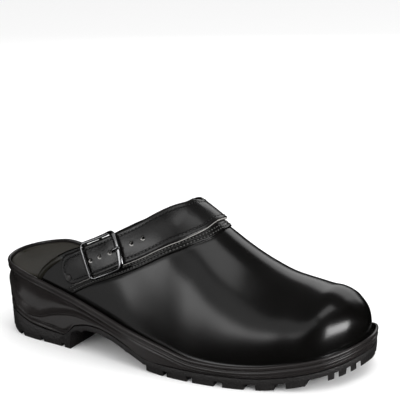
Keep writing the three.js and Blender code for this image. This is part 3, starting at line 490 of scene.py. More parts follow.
# %% [markdown]
# ## The face of the leather
# The leather's face is a second function: a place along the shoe, and a turn that runs from the
# lateral rim (0) over the ridge (0.5) to the medial rim (1). Each section is a superellipse
# whose power says how boxy it is. A function like this pays for itself, since seams,
# stitches and the strap can all be laid on the leather by asking it where it is.

# %% The face of the leather
INSTEP_HEIGHT, TOE_BOX_HEIGHT, TOE_CAP_LENGTH, TOE_CAP_DROP = 103.5, 56.5, 26, 0.62
UPPER_INSET, UPPER_TUCK, RIDGE_LIMIT = 3, 3, 3.5
instep_share, box_share, ridge_share, power_at = (over_length(SECTIONS, column) for column in (1, 2, 3, 4))
TOE_TIP = along(1) - UPPER_INSET
side_rows = np.linspace(0, LAST_ROW, 2401)
MEDIAL_EDGE = inset_outline(side_rows, UPPER_INSET).T
LATERAL_EDGE = inset_outline(2 * LAST_ROW - side_rows, UPPER_INSET).T


def leather(x, turn):
    x, turn = np.broadcast_arrays(np.asarray(x, float), np.asarray(turn, float))
    medial, lateral = np.interp(x, *MEDIAL_EDGE), np.interp(x, *LATERAL_EDGE)
    half = (medial - lateral) / 2
    low = rim(x) - UPPER_TUCK
    into = np.clip((x - TOE_TIP + TOE_CAP_LENGTH) / TOE_CAP_LENGTH, 0, 1)
    cap = 1 - TOE_CAP_DROP * (1 - np.sqrt(1 - into * into))
    high = (instep_share(x) * INSTEP_HEIGHT + box_share(x) * TOE_BOX_HEIGHT - low) * cap
    ridge = ridge_share(x) * np.minimum(BALL_WIDTH, RIDGE_LIMIT * half)
    out = -np.cos(np.pi * turn)
    side = np.sign(out) * np.abs(out) ** (2 / power_at(x))
    rise = np.abs(np.sin(np.pi * turn)) ** (2 / power_at(x))
    return np.stack([x, (medial + lateral) / 2 + half * side + ridge * rise, low + high * rise], -1)


def unit(v):
    return v / np.linalg.norm(v, axis=-1, keepdims=True)


def leather_normal(x, turn):
    forward = leather(x + 0.4, turn) - leather(x - 0.4, turn)
    around = leather(x, np.minimum(turn + 0.004, 1)) - leather(x, np.maximum(turn - 0.004, 0))
    return unit(np.cross(forward, around))


print("instep stands", round(float(leather(along(0.557), 0.5)[2]), 1), "mm high")

# %% [markdown]
# Two lines are cut across that face: the collar, and the seam where the quarter ends. Both come
# from the table of cuts, by how far round the foot they are. On the ridge the two sides meet,
# and a plain mirror would leave a corner there, so the distance from the ridge is eased. Rows
# beside a line keep their distance on the leather itself, not along the shoe.

# %% Collar and seam
RIDGE_EASE, STEEPEST = 0.06, 0.2
lateral_cut, medial_cut, seam_cut = (curve(CUTS[0], CUTS[i]) for i in (1, 2, 3))


def fold(turn):
    return np.minimum(turn, 1 - turn)


def eased(distance, reach):
    """A distance from the ridge, rounded off within reach, so that no cut line has a corner there."""
    size = np.abs(distance)
    return np.where(size < reach, (size**2 / reach + reach) / 2, size)


def collar_at(turn):
    cut = 0.5 - eased(turn - 0.5, RIDGE_EASE)
    return along(np.where(turn < 0.5, lateral_cut(cut), medial_cut(cut)))


def seam_at(turn):
    return along(seam_cut(0.5 - eased(turn - 0.5, RIDGE_EASE)))


def beside(line, turn, distance):
    """The line on the leather that runs at a distance ahead of another line."""
    x = line(turn)
    one, other = np.minimum(turn + 0.002, 1), np.maximum(turn - 0.002, 0)
    run = unit(leather(line(one), one) - leather(line(other), other))
    ahead = leather(x + 0.5, turn) - leather(x - 0.5, turn)
    square = ahead - run * np.sum(ahead * run, -1, keepdims=True)
    return x + distance / np.maximum(np.linalg.norm(square, axis=-1), STEEPEST)


print("on the ridge the seam lies", round(float(seam_at(0.5) - collar_at(0.5)), 1), "mm ahead of the collar")

# %% [markdown]
# ## Meshes from rows and rings
# Nearly every piece is a grid of points or a stack of rings, so a few helpers take points in
# millimetres to a finished object. Doubled points are merged before the normals are counted
# on, and a body that comes out with a negative volume is turned, so that faces point outwards.

# %% Objects and grids
def new_object(name, points, faces, materials, marks=None):
    """A smooth mesh object from points in millimetres, doubles merged, faces outwards."""
    mesh = bpy.data.meshes.new(name)
    mesh.from_pydata((np.asarray(points) * MM).tolist(), [], [[int(i) for i in f] for f in faces])
    if marks is not None:
        mesh.polygons.foreach_set("material_index", marks)
    shape = bmesh.new()
    shape.from_mesh(mesh)
    bmesh.ops.remove_doubles(shape, verts=shape.verts, dist=2e-6)
    bmesh.ops.dissolve_degenerate(shape, edges=shape.edges, dist=1e-7)
    if shape.calc_volume(signed=True) < 0:
        bmesh.ops.reverse_faces(shape, faces=shape.faces)
    shape.to_mesh(mesh)
    shape.free()
    for material in materials:
        mesh.materials.append(material)
    mesh.shade_smooth()
    made = bpy.data.objects.new(name, mesh)
    bpy.context.collection.objects.link(made)
    return made


def grid(rows, columns, wrap=False):
    """Faces of a grid of points that are numbered row by row."""
    last = columns if wrap else columns - 1
    return [(r * columns + c, r * columns + (c + 1) % columns,
             (r + 1) * columns + (c + 1) % columns, (r + 1) * columns + c)
            for r in range(rows - 1) for c in range(last)]


print("a grid of 3 by 4 points has", len(grid(3, 4)), "faces")


# %% Bodies between rings
def loop_body(name, rings, decks, materials, ring_marks=None, deck_marks=(0, 0)):
    """A closed body between rings. Point i of a ring faces point -i, and each deck's lines of
    points run from one to the other."""
    count, half = len(rings[0]), len(rings[0]) // 2
    points, faces = list(np.concatenate(rings)), grid(len(rings), len(rings[0]), wrap=True)
    ring_marks = ring_marks or [0] * (len(rings) - 1)
    marks = np.concatenate([np.broadcast_to(mark, count) for mark in ring_marks]).tolist()
    for side, (start, deck) in enumerate(zip((0, (len(rings) - 1) * count), decks)):
        columns = deck.shape[1] + 1
        lines = [[start] * (columns + 1)]
        for i in range(1, half):
            inner = range(len(points), len(points) + columns - 1)
            points.extend(deck[i - 1])
            lines.append([start + count - i, *inner, start + i])
        lines.append([start + half] * (columns + 1))
        for one, two in zip(lines, lines[1:]):
            for c in range(columns):
                face = list(dict.fromkeys((one[c], two[c], two[c + 1], one[c + 1])))
                faces.append(face[::-1] if side else face)
                marks.append(deck_marks[side])
    return new_object(name, points, faces, materials, marks)


print("a ring of 8 points gives", len(grid(2, 8, wrap=True)), "faces to the next")

# %% [markdown]
# The frame must know of each piece which body it rides on and which CAD nodes it stands in for.
# Its modifiers are turned into plain mesh first, because what the frame keeps is the mesh alone.

# %% Handing over
def finished(piece, slot, *nodes):
    """Hand a piece over to the frame."""
    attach(piece, "root")
    if nodes:
        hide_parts(*nodes)
    print(piece.name, len(piece.data.polygons), "faces")


def with_modifiers(piece):
    """Bake a piece's modifiers into its mesh."""
    graph = bpy.context.evaluated_depsgraph_get()
    graph.update()
    baked = bpy.data.meshes.new_from_object(piece.evaluated_get(graph))
    piece.modifiers.clear()
    piece.data = baked


print("pieces ride on root, and", len(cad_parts), "nodes wait to be replaced")

# %% [markdown]
# ## The upper
# A cutter makes the upper from two panels. The quarter laps over the vamp, so a real edge shows
# there, with two sewn rows just behind it, and the collar is turned over a cord into a soft
# roll. Panels could be modelled apart, but all of that is height above one surface, so the
# upper is a grid whose rows run at chosen distances from the collar and from the seam, each
# with its own lift. Close rows draw the lap and the sewn channels sharply.

# %% Rows of the upper
TURNS, VAMP_ROWS = 128, 92
UPPER_WALL, LAP_STEP = 2.2, 1.2
# Columns: distance from the line, and height above the leather's face.
ROLL_ROWS = [(0.0, -0.55), (0.25, 0.15), (0.8, 0.75), (1.5, 1.05), (2.4, 1.1), (3.2, 0.85),
             (3.8, 0.4), (4.15, -0.05), (4.5, -0.1), (5.3, 0.0), (6.5, 0.0)]
SEAM_ROWS = [(8.0, 0.0), (6.0, 0.0), (5.1, 0.0), (4.7, -0.08), (4.3, -0.16), (3.9, -0.08), (3.5, 0.06),
             (2.6, 0.08), (2.2, -0.08), (1.8, -0.16), (1.4, -0.08), (1.0, 0.04), (0.5, -0.02),
             (0.2, -0.16), (0.04, -0.45), (0.0, -0.8)]
# Columns: distance ahead of the seam, and how much deeper the vamp lies there.
VAMP_EDGE = [(0.0, 0.15), (0.5, 0.12), (1.2, 0.0)]
turn = np.linspace(0, 1, TURNS + 1)


def lap_at(x):
    """The lap's step comes in over the tuck that the bead hides."""
    return soft_step(leather(x, turn)[:, 2] - rim(x) + UPPER_TUCK, 0, UPPER_TUCK)


rolled = soft_step(fold(turn), 0, 0.02) * (1 - soft_step(fold(turn), 0.055, 0.085))
collar_lines = [beside(collar_at, turn, distance) for distance, _ in ROLL_ROWS]
seam_lines = [beside(seam_at, turn, -distance) for distance, _ in SEAM_ROWS]
rows = [(x, rise * rolled if n > 1 else np.full_like(turn, rise))
        for n, (x, (_, rise)) in enumerate(zip(collar_lines, ROLL_ROWS))]
rows += [(mix(collar_lines[-1], seam_lines[0], t), 0 * turn) for t in np.linspace(0, 1, 9)[1:-1]]
rows += [(x, rise * lap_at(x)) for x, (_, rise) in zip(seam_lines, SEAM_ROWS)]
for distance, sink in VAMP_EDGE[:-1]:
    x = beside(seam_at, turn, distance)
    rows.append((x, -(LAP_STEP + sink) * lap_at(x)))
vamp_start = beside(seam_at, turn, VAMP_EDGE[-1][0])
for t in np.linspace(0, 1, VAMP_ROWS):
    x = mix(vamp_start, TOE_TIP, np.sin(np.pi / 2 * t))
    rows.append((x, -LAP_STEP * lap_at(x)))
print("the upper has", len(rows), "rows of", len(turn), "points")

# %% [markdown]
# A row's points stand off the leather's face along its normal. At the very toe the normal points
# straight ahead, and along the rim it has no height, so that the edge stays level in its tuck.
# The wall is closed with a rounded lip at the collar and a strip along each rim. The lining
# takes the inner faces, and the collar's binding shows at its two ends, beside the heel.

# %% Points of the wall
# Columns: part of the way through the leather, and how far the lip bulges there.
LIP_ROWS = [(0.12, 0.35), (0.35, 0.7), (0.65, 0.7), (0.9, 0.35)]


def wall_point(x, height):
    x = np.minimum(x, TOE_TIP)
    tip = x > TOE_TIP - 1e-6
    point = leather(x, turn)
    normal = np.where(tip[:, None], (1.0, 0.0, 0.0), leather_normal(np.minimum(x, TOE_TIP - 0.5), turn))
    edge = np.isin(np.arange(len(turn)), (0, TURNS))
    normal[edge & ~tip, 2] = 0
    moved = point + unit(normal) * np.broadcast_to(height, turn.shape)[:, None]
    moved[edge, 2] = point[edge, 2]
    return moved


def depth_at(x):
    return UPPER_WALL + LAP_STEP * lap_at(x)


collar, sunk = rows[0][0], -ROLL_ROWS[0][1]
outside = [wall_point(x, height) for x, height in rows]
inside = [wall_point(x, -depth_at(x)) for x, _ in rows[::2] + rows[-1:]]
lip = [wall_point(collar - bulge, -sunk - (depth_at(collar) - sunk) * part) for part, bulge in LIP_ROWS]
print("quarter and vamp together are", round(float(depth_at(TOE_TIP - 100)[TURNS // 2]), 1), "mm thick")

# %% Upper
BINDING_ROWS, BINDING_ENDS = 8, 0.075
sheet_rows = outside[::-1] + lip + inside
faces = grid(len(sheet_rows), len(turn))
bound_from, lined_from = len(outside) - BINDING_ROWS, len(outside) + len(LIP_ROWS)
bound = [not BINDING_ENDS * TURNS < column < (1 - BINDING_ENDS) * TURNS for column in range(TURNS)]
marks = [1 if r >= lined_from else 2 if r >= bound_from and bound[c] else 0
         for r in range(len(sheet_rows) - 1) for c in range(TURNS)]
for column, flip in ((0, 1), (TURNS, -1)):
    edge = [r * len(turn) + column for r in range(len(sheet_rows))]
    outer, inner = edge[:len(outside)], edge[len(outside):][::-1]
    pick = np.linspace(0, len(inner) - 1, len(outer)).round().astype(int)
    for i in range(len(outer) - 1):
        face = tuple(dict.fromkeys((outer[i], outer[i + 1], inner[pick[i + 1]], inner[pick[i]])))
        faces.append(face[::flip])
        marks.append(0)
finished(new_object("upper_leather", np.concatenate(sheet_rows), faces,
                    (vamp_leather, lining_leather, binding), marks), "leather", "upper")

# %% [markdown]
# ## The midsole
# A moulded wall reads by its lines: the bead that hugs the leather, a second bead below it, the
# scooped flank of the heel, a crease, a groove. They could be cut with booleans, but a cut
# leaves hard edges that a mould never has. Here each line is a ring round the outline with its
# own inset and height, and one level of subdivision rounds the steps between them.

# %% Heights on the wall
BEAD_WIDTH, BEAD_HEIGHT, WALL_INSET = 2.4, 3.2, 0.8


def bead_foot(x):
    return rim(x) - 2 * BEAD_HEIGHT


def wall_height(x):
    return bead_foot(x) - midsole_foot(x)


def on_wall(part):
    """A height function from a part of the wall, 0 at its foot and 1 below the beads."""
    return lambda x: mix(midsole_foot(x), bead_foot(x), part(x))


print("the wall below the beads is", round(float(wall_height(along(0))), 1), "mm high at the heel")

# %% [markdown]
# The crease starts high at the back of the heel, dives, and runs level along the flank, so at the
# heel it follows a line that was measured on the wall. The groove below it belongs to the
# heel alone. Where the wall is low, the rings beside a line are kept from crossing others.

# %% Crease and groove
GROOVE_DEPTH, LEVEL_START, LEVEL_END, FARTHEST = 1.3, -30, 0, 0.1
# Columns: place in millimetres, and the crease's height above the floor.
CREASE_LINE = np.array([[-141, 45], [-129, 35], [-118, 25], [-107, 19.4], [-98, 19.6], [-82, 24],
                        [-62, 27.2], [-40, 24.6], [-20, 20.4], [0, 17]]).T
# Columns: place in millimetres, and the groove's height above the midsole's foot.
GROOVE_RISE = np.array([[-141, 9], [-131, 7.3], [-122, 4.4], [-112, 3.6], [-98, 4.2], [-86, 3.9],
                        [-76, 2.6], [-60, 1.6], [0, 1.6]]).T
drawn_crease, groove_rise = curve(*CREASE_LINE), curve(*GROOVE_RISE)


def crease(x):
    """The crease's part of the wall: the drawn line at the heel, the table's in front."""
    drawn = (drawn_crease(x) - midsole_foot(x)) / wall_height(x)
    return mix(drawn, crease_share(x), soft_step(x, LEVEL_START, LEVEL_END))


def groove(x):
    return groove_rise(x) / wall_height(x)


def above_crease(part):
    return on_wall(lambda x: mix(crease(x), 1, part))


def near(line, offset):
    """A height beside a line of the wall, but never far off it where the wall is low."""
    return on_wall(lambda x: line(x) + np.clip(offset / wall_height(x), -FARTHEST, FARTHEST))


print("the crease stands", round(float(on_wall(crease)(along(0))), 1), "mm high at the back of the heel")

# %% [markdown]
# The rings stand closer where the heel's breast drops to the arch, because the wall turns there
# within a few millimetres. Inside the bead the midsole is a tray: a ledge for the upper, and
# behind the collar a seat that is wider, for the footbed.

# %% Insets and the tray
FOOTBED_DEPTH, HEEL_CUP = 5, 2
COLLAR_START, LEDGE_START, LEDGE_END = along(CUTS[1][0]), 11, 4
BREAST_STATIONS = np.linspace(4.2, 5.6, 29)
around = np.unique(np.round(np.r_[np.linspace(0, len(LOOP), 321)[:-1], BREAST_STATIONS,
                                  len(LOOP) - BREAST_STATIONS], 4))


def ring_of(inset, height):
    flat = inset_outline(around, inset)
    return np.c_[flat, height(flat[:, 0])]


def seat_inset(x):
    behind, within = BEAD_WIDTH + GAP, UPPER_INSET + UPPER_WALL + 2 * GAP
    return mix(behind, within, soft_step(x, COLLAR_START - LEDGE_START, COLLAR_START - LEDGE_END))


def seat(x):
    return rim(x) - FOOTBED_DEPTH - HEEL_CUP * heel_rim(x)


def ledge(x):
    return rim(x) - UPPER_TUCK - GAP


def heel_only(x):
    return 1 - soft_step(x, BREAST - SPLIT_RUN, BREAST + SPLIT_RUN)


def carved(depth):
    """An inset that is as deep as given at the heel, and fades to the plain wall at the ball."""
    return lambda x: WALL_INSET + depth * (1 - soft_step(x, BREAST, FOREFOOT))


print("each ring has", len(around), "points")

# %% Rings of the midsole
# Columns: inset as a share of the bead's width, and depth below the rim in bead heights.
BEAD_ROWS = [(1.00, 0.2), (0.80, -0.02), (0.35, -0.02), (-0.02, 0.28), (0.02, 0.68), (0.55, 0.95),
             (0.55, 1.08), (0.08, 1.32), (0.08, 1.65), (0.45, 1.9), (0.50, 2.0)]
# Columns: depth of the carving, and how far up from the crease to the beads.
FLANK_ROWS = [(1.5, 0.82), (2.5, 0.60), (2.8, 0.38), (2.4, 0.20)]
# Columns: depth of the carving, and millimetres above the crease.
CREASE_ROWS = [(1.3, 1.6), (0.2, 0.8), (-0.35, 0.35), (-0.35, 0.0), (0.8, -0.3), (0.9, -0.6), (0.1, -1.0),
               (0.0, -1.5)]
# Columns: depth of the groove, and millimetres above it.
GROOVE_ROWS = [(0, 1.2), (0, 0.8), (GROOVE_DEPTH, 0.35), (GROOVE_DEPTH, -0.35), (0, -0.9)]
FOOT_RISE, FOOT_INSET = 0.5, 0.35

rings = [ring_of(seat_inset, seat), ring_of(seat_inset, ledge), ring_of(BEAD_WIDTH, ledge)]
rings += [ring_of(share * BEAD_WIDTH, lambda x: rim(x) - down * BEAD_HEIGHT) for share, down in BEAD_ROWS]
rings += [ring_of(carved(depth), above_crease(part)) for depth, part in FLANK_ROWS]
rings += [ring_of(carved(depth), near(crease, offset)) for depth, offset in CREASE_ROWS]
rings += [ring_of(lambda x: WALL_INSET + depth * heel_only(x), near(groove, offset))
          for depth, offset in GROOVE_ROWS]
rings += [ring_of(WALL_INSET, lambda x: midsole_foot(x) + FOOT_RISE),
          ring_of(WALL_INSET + FOOT_INSET, midsole_foot)]
print("the midsole has", len(rings), "rings")

# %% [markdown]
# A deck closes the top and the foot with lines of points from side to side. The back of the heel
# stands out a little below its rim. Midsole, footbed and tread swell alike there, so one
# function moves the points of all three, and lifts the tread's last corner off the floor.

# %% Decks and the swollen heel
SWELL_START, SWELL_RIM, SWELL_LOW, SWELL_WIDE = -95.0, 1.4, 2.6, 0.02
SWELL_FROM, SWELL_TO = 38, 48
BEVEL_START, BEVEL_RISE, BEVEL_POWER = -112.0, 3.4, 1.7


def deck_on(ring, height, columns):
    """Lines of points from side to side of a ring, at a height of their own."""
    half = len(ring) // 2
    share = np.linspace(0, 1, columns + 1)[1:-1]
    lines = mix(ring[:half:-1, None], ring[1:half, None], share[:, None])
    lines[..., 2] = height(lines[..., 0], np.broadcast_to(share, lines.shape[:2]))
    return lines


def swell_heel(piece, bevel=False):
    """Let the back of the heel stand out a little below the rim, and rise off the floor."""
    points = np.empty(len(piece.data.vertices) * 3)
    piece.data.vertices.foreach_get("co", points)
    points = points.reshape(-1, 3) / MM
    reach = np.clip((SWELL_START - points[:, 0]) / (SWELL_START - along(0)), 0, 1)
    back_part = np.clip((BEVEL_START - points[:, 0]) / (BEVEL_START - along(0)), 0, 1)
    if bevel:
        low_part = np.clip(1 - points[:, 2] / HEEL_LIFT, 0, 1)
        points[:, 2] += BEVEL_RISE * back_part**BEVEL_POWER * low_part
    points[:, 0] -= mix(SWELL_LOW, SWELL_RIM, soft_step(points[:, 2], SWELL_FROM, SWELL_TO)) * reach**2
    points[:, 1] *= 1 + SWELL_WIDE * reach
    piece.data.vertices.foreach_set("co", (points * MM).ravel())
    piece.data.update()


print("the heel swells by", SWELL_LOW, "mm low down and", SWELL_RIM, "mm at the rim")

# %% Midsole
tray = deck_on(rings[0], lambda x, share: seat(x), 2)
foot = deck_on(rings[-1], lambda x, share: midsole_foot(x), 2)
midsole = loop_body("midsole_rubber", rings, (tray, foot), [sole_rubber])
rounding = midsole.modifiers.new("round", "SUBSURF")
rounding.levels = rounding.render_levels = 1
with_modifiers(midsole)
swell_heel(midsole)
finished(midsole, "sole", "midsole")

# %% [markdown]
# ## The footbed
# The footbed lies inside the bead with its edge a little below it, and it is pressed hollow under
# the heel. A cushion would be made by cloth simulation, but this one is firm, so five rings
# give its rounded edge, and the deck is dished across by a sine.

# %% Footbed
INSOLE_EDGE_DROP, INSOLE_DISH, BED_COLUMNS = 1.8, 1.6, 18
# Columns: inset from the seat's edge, and depth below the footbed's top.
BED_EDGE = [(1.0, 0.0), (0.45, 0.15), (0.1, 0.5), (0.0, 1.0)]


def bed_inset(x):
    return seat_inset(x) + GAP


def bed_top(x):
    return rim(x) - INSOLE_EDGE_DROP


def bed_foot(x):
    return seat(x) + GAP


def dished(x, share):
    return bed_top(x) - INSOLE_DISH * heel_rim(x) * np.sin(np.pi * share)


bed_rings = [ring_of(lambda x: bed_inset(x) + inset, lambda x: bed_top(x) - down) for inset, down in BED_EDGE]
bed_rings.append(ring_of(bed_inset, bed_foot))
bed_decks = (deck_on(bed_rings[0], dished, BED_COLUMNS),
             deck_on(bed_rings[-1], lambda x, share: bed_foot(x), 2))
bed = loop_body("footbed_top", bed_rings, bed_decks, [footbed_felt])
swell_heel(bed)
finished(bed, "footbed", "insole")

# %% [markdown]
# ## The outsole
# The tread keeps the CAD's lugs, as every one of them was placed there. What a mould adds is a
# soft break on each edge, and fine ribs across the blocks in the middle. The ribs repeat, so
# geometry nodes lay them out: a short row of bars is set on each block, turned and stretched to
# it, and what comes out is cut away from a merged copy of the tread.

# %% Node groups and their named inputs
def node_group(name, *sockets):
    """An empty geometry tree, its named inputs as wires, and its output node."""
    tree = bpy.data.node_groups.new(name, "GeometryNodeTree")
    tree.interface.new_socket(name="Geometry", in_out="OUTPUT", socket_type="NodeSocketGeometry")
    for label, kind in (("Geometry", "NodeSocketGeometry"), *sockets):
        tree.interface.new_socket(name=label, in_out="INPUT", socket_type=kind)
    entry, leave = tree.nodes.new("NodeGroupInput"), tree.nodes.new("NodeGroupOutput")
    wires = {socket.name: Wire(tree, socket) for socket in entry.outputs if socket.name}
    return tree, wires, leave


def grown(name, points, attributes, tree, values):
    """The mesh that a geometry tree grows on points, with the tree's inputs set by name."""
    mesh = bpy.data.meshes.new(name)
    mesh.from_pydata((np.asarray(points) * MM).tolist(), [], [])
    for label, vectors in attributes.items():
        layer = mesh.attributes.new(label, "FLOAT_VECTOR", "POINT")
        layer.data.foreach_set("vector", np.asarray(vectors, float).ravel())
    made = bpy.data.objects.new(name, mesh)
    bpy.context.collection.objects.link(made)
    modifier = made.modifiers.new("grow", "NODES")
    modifier.node_group = tree
    for socket in tree.interface.items_tree:
        if socket.in_out == "INPUT" and socket.name in values:
            modifier[socket.identifier] = values[socket.name]
    with_modifiers(made)
    return made


def vector_named(wire, label):
    return wire.node("GeometryNodeInputNamedAttribute", {"data_type": "FLOAT_VECTOR"}, {"Name": label})


print("a tree grows on points that carry attributes")

# %% The groove tree
BAR_REACH, BAR_TALL = 1.1, 1.0
ribs_tree, ribs_in, ribs_out = node_group(
    "block_grooves", ("Grooves", "NodeSocketInt"), ("Groove share", "NodeSocketFloat"),
    ("Cutter material", "NodeSocketMaterial"))
grooves = ribs_in["Grooves"]
pitch = 1.0 / (grooves + 1)
first = grooves.node("ShaderNodeCombineXYZ", {}, {"X": pitch - 0.5})
stride = grooves.node("ShaderNodeCombineXYZ", {}, {"X": pitch})
row = grooves.node("GeometryNodeMeshLine", {}, {"Count": grooves, "Start Location": first, "Offset": stride})
bar_size = grooves.node("ShaderNodeCombineXYZ", {}, {
    "X": pitch * ribs_in["Groove share"], "Y": BAR_REACH, "Z": BAR_TALL})
bar = grooves.node("GeometryNodeMeshCube", {}, {"Size": bar_size})
bars = grooves.node("GeometryNodeInstanceOnPoints", {}, {"Points": row, "Instance": bar})
turned = grooves.node("FunctionNodeEulerToRotation", {}, {"Euler": vector_named(grooves, "turned")})
set_out = grooves.node("GeometryNodeInstanceOnPoints", {}, {
    "Points": ribs_in["Geometry"], "Instance": bars, "Rotation": turned,
    "Scale": vector_named(grooves, "size")})
solid = grooves.node("GeometryNodeRealizeInstances", {}, {"Geometry": set_out})
dressed = grooves.node("GeometryNodeSetMaterial", {}, {
    "Geometry": solid, "Material": ribs_in["Cutter material"]})
ribs_tree.links.new(dressed.socket, ribs_out.inputs["Geometry"])
print("the groove tree has", len(ribs_tree.nodes), "nodes")

# %% [markdown]
# A CAD node's mesh is loose triangles. A copy of it is merged first, and its flat faces are made
# whole again, because a bevel looks for the angle between neighbours and a boolean wants a
# closed body.

# %% A merged copy of a CAD node
def merged_copy(node, name, *materials):
    """A copy of a CAD node, merged, with its flat faces made whole again."""
    mesh = bpy.data.objects[node].data.copy()
    mesh.name = name
    shape = bmesh.new()
    shape.from_mesh(mesh)
    bmesh.ops.remove_doubles(shape, verts=shape.verts, dist=1e-5)
    bmesh.ops.dissolve_limit(shape, angle_limit=math.radians(0.6), verts=shape.verts, edges=shape.edges)
    shape.to_mesh(mesh)
    shape.free()
    mesh.materials.clear()
    for material in materials:
        mesh.materials.append(material)
    made = bpy.data.objects.new(name, mesh)
    bpy.context.collection.objects.link(made)
    return made


def tread_height(x):
    return np.where(x < BREAST, 0, np.maximum(spring(x), base(x) - TREAD_DEPTH))


tread = merged_copy("outsole", "tread_lugs", tread_rubber)
print("the merged tread has", len(tread.data.polygons), "faces")

# %% Outsole
# Columns: place along and across, length and width as shares, and turn in degrees.
CENTRE_BLOCKS = np.array([
    [0.850, 0.026, 0.042, 0.105, -24],
    [0.801, 0.125, 0.078, 0.100, -24],
    [0.702, 0.044, 0.080, 0.103, -9],
    [0.591, 0.040, 0.073, 0.098, 4],
    [0.488, 0.102, 0.068, 0.092, 22],
    [0.770, -0.073, 0.078, 0.090, -20],
    [0.660, -0.125, 0.090, 0.100, -3],
    [0.543, -0.100, 0.082, 0.098, 14],
    [0.440, -0.027, 0.066, 0.088, 26],
])
RIB_GROOVE_DEPTH, CUTTER_HEIGHT, EDGE_BREAK = 1.3, 6.0, 0.35
block_x, block_y = along(CENTRE_BLOCKS[:, 0]), CENTRE_BLOCKS[:, 1] * BALL_WIDTH
block_z = tread_height(block_x) + RIB_GROOVE_DEPTH - CUTTER_HEIGHT / 2
block_long, block_wide = CENTRE_BLOCKS[:, 2] * LENGTH, CENTRE_BLOCKS[:, 3] * BALL_WIDTH
no_turn = np.zeros(len(CENTRE_BLOCKS))
cutters = grown("block_cutters", np.c_[block_x, block_y, block_z], {
    "turned": np.c_[no_turn, no_turn, np.radians(CENTRE_BLOCKS[:, 4])],
    "size": np.c_[block_long, block_wide, no_turn + CUTTER_HEIGHT] * MM,
}, ribs_tree, {"Grooves": 7, "Groove share": 0.42, "Cutter material": tread_rubber})
carve = tread.modifiers.new("carve", "BOOLEAN")
carve.operation, carve.solver, carve.object = "DIFFERENCE", "EXACT", cutters
soften = tread.modifiers.new("soften", "BEVEL")
soften.width, soften.segments, soften.limit_method = EDGE_BREAK * MM, 2, "ANGLE"
soften.angle_limit, soften.use_clamp_overlap = math.radians(38), True
with_modifiers(tread)
bpy.data.objects.remove(cutters)
swell_heel(tread, bevel=True)
tread.data.shade_smooth()
tread.data.set_sharp_from_angle(angle=math.radians(35))
finished(tread, "sole", "outsole")

# %% [markdown]
# ## Strap and tab
# Both are flat straps of leather with a rounded edge, laid over the foot along one centre line. A
# flat strip could be bent round the foot by a curve modifier, but here a place on them is a
# distance along that line and a distance across it, laid on the leather's own face. The
# strap follows its two edges as they were measured over the instep, a little wider than at
# the buckle.

# %% The strap's course
# Columns: part of the way, then place and turn of the low edge, place and turn of the high edge.
STRAP_ROWS = np.array([
    [0.000, 0.261, 0.022, 0.240, 0.078],
    [0.087, 0.300, 0.045, 0.270, 0.099],
    [0.171, 0.335, 0.068, 0.302, 0.123],
    [0.425, 0.439, 0.147, 0.401, 0.208],
    [0.616, 0.512, 0.222, 0.471, 0.293],
    [0.802, 0.574, 0.320, 0.521, 0.392],
    [0.918, 0.605, 0.410, 0.541, 0.455],
    [1.000, 0.617, 0.500, 0.547, 0.500],
]).T
STRAP_WIDTH, STRAP_THICKNESS, STRAP_TIP, STRAP_START, STRAP_FALL = 22.6, 2.4, 3, 24, 24
TAB_WIDTH, TAB_THICKNESS, TAB_TIP = 21.6, 2, 9
BUCKLE_DISTANCE, CENTRE_BAR_WIRE, COURSE_EASE = 43.2, 2, 0.1
MEDIAL_SHIFT, SHOULDER, SHOULDER_TOP, SHOULDER_END = 5, 3.5, 0.12, 0.45
WIDTH_KEPT, WIDTH_MEASURED = 0.45, 0.7
low_at, low_turn_at, high_at, high_turn_at = (curve(STRAP_ROWS[0], STRAP_ROWS[i]) for i in (1, 2, 3, 4))


def on_course(part, across, height):
    """A place on the strap: part from 0 at the tab to 2 at the medial end."""
    part, across, height = np.broadcast_arrays(*(np.asarray(v, float) for v in (part, across, height)))
    medial, run = part > 1, 1 - np.abs(1 - part)
    smooth_run = 1 - eased(1 - part, COURSE_EASE)
    low_x, high_x = along(low_at(smooth_run)), along(high_at(smooth_run))
    low_turn, high_turn = low_turn_at(run), high_turn_at(run)
    width = np.linalg.norm(leather(low_x, low_turn) - leather(high_x, high_turn), axis=-1)
    share = 0.5 + across * mix(1 / width, 1 / STRAP_WIDTH, soft_step(run, WIDTH_KEPT, WIDTH_MEASURED))
    down = 1 - smooth_run
    shoulder = soft_step(down, 0, SHOULDER_TOP) * (1 - soft_step(down, SHOULDER_TOP, SHOULDER_END))
    x = mix(low_x, high_x, share) + medial * (MEDIAL_SHIFT * down + SHOULDER * shoulder * share)
    turned_by = mix(low_turn, high_turn, share)
    turned_by = np.where(medial, 1 - turned_by, turned_by)
    return leather(x, turned_by) + leather_normal(x, turned_by) * height[..., None]


print("on the ridge the strap lies", round(float(on_course(1, 0, 0)[2]), 1), "mm above the floor")

# %% Distances along the strap
course_parts = np.linspace(0, 2, 801)
course_line = on_course(course_parts, 0, 0)
course_run = np.r_[0, np.cumsum(np.linalg.norm(np.diff(course_line, axis=0), axis=1))]
STRAP_END = course_run[-1]


def laid(distance, across, height):
    """A place on the strap, by its distance in millimetres from the tab's round end."""
    return on_course(np.interp(distance, course_run, course_parts), across, height)


def strap_raise(distance):
    fall = BUCKLE_DISTANCE + CENTRE_BAR_WIRE
    return mix(CENTRE_BAR_WIRE + 2 * GAP, GAP, soft_step(distance, fall, fall + STRAP_FALL))


print("strap is", round(float(STRAP_END - STRAP_START), 1), "mm long")

# %% [markdown]
# Rings of a strap's outline, each a little further in, give its edge, its sewn channel and its
# slightly full middle. The upper part of the edge is dark. On the lower edge of the strap and of
# the tab a pale painted highlight stands for the light that side catches, so the faces low on that
# one side get the second material.

# %% Outline and edge of a band
STITCH_IN, BAND_STEP = 3.2, 1.6
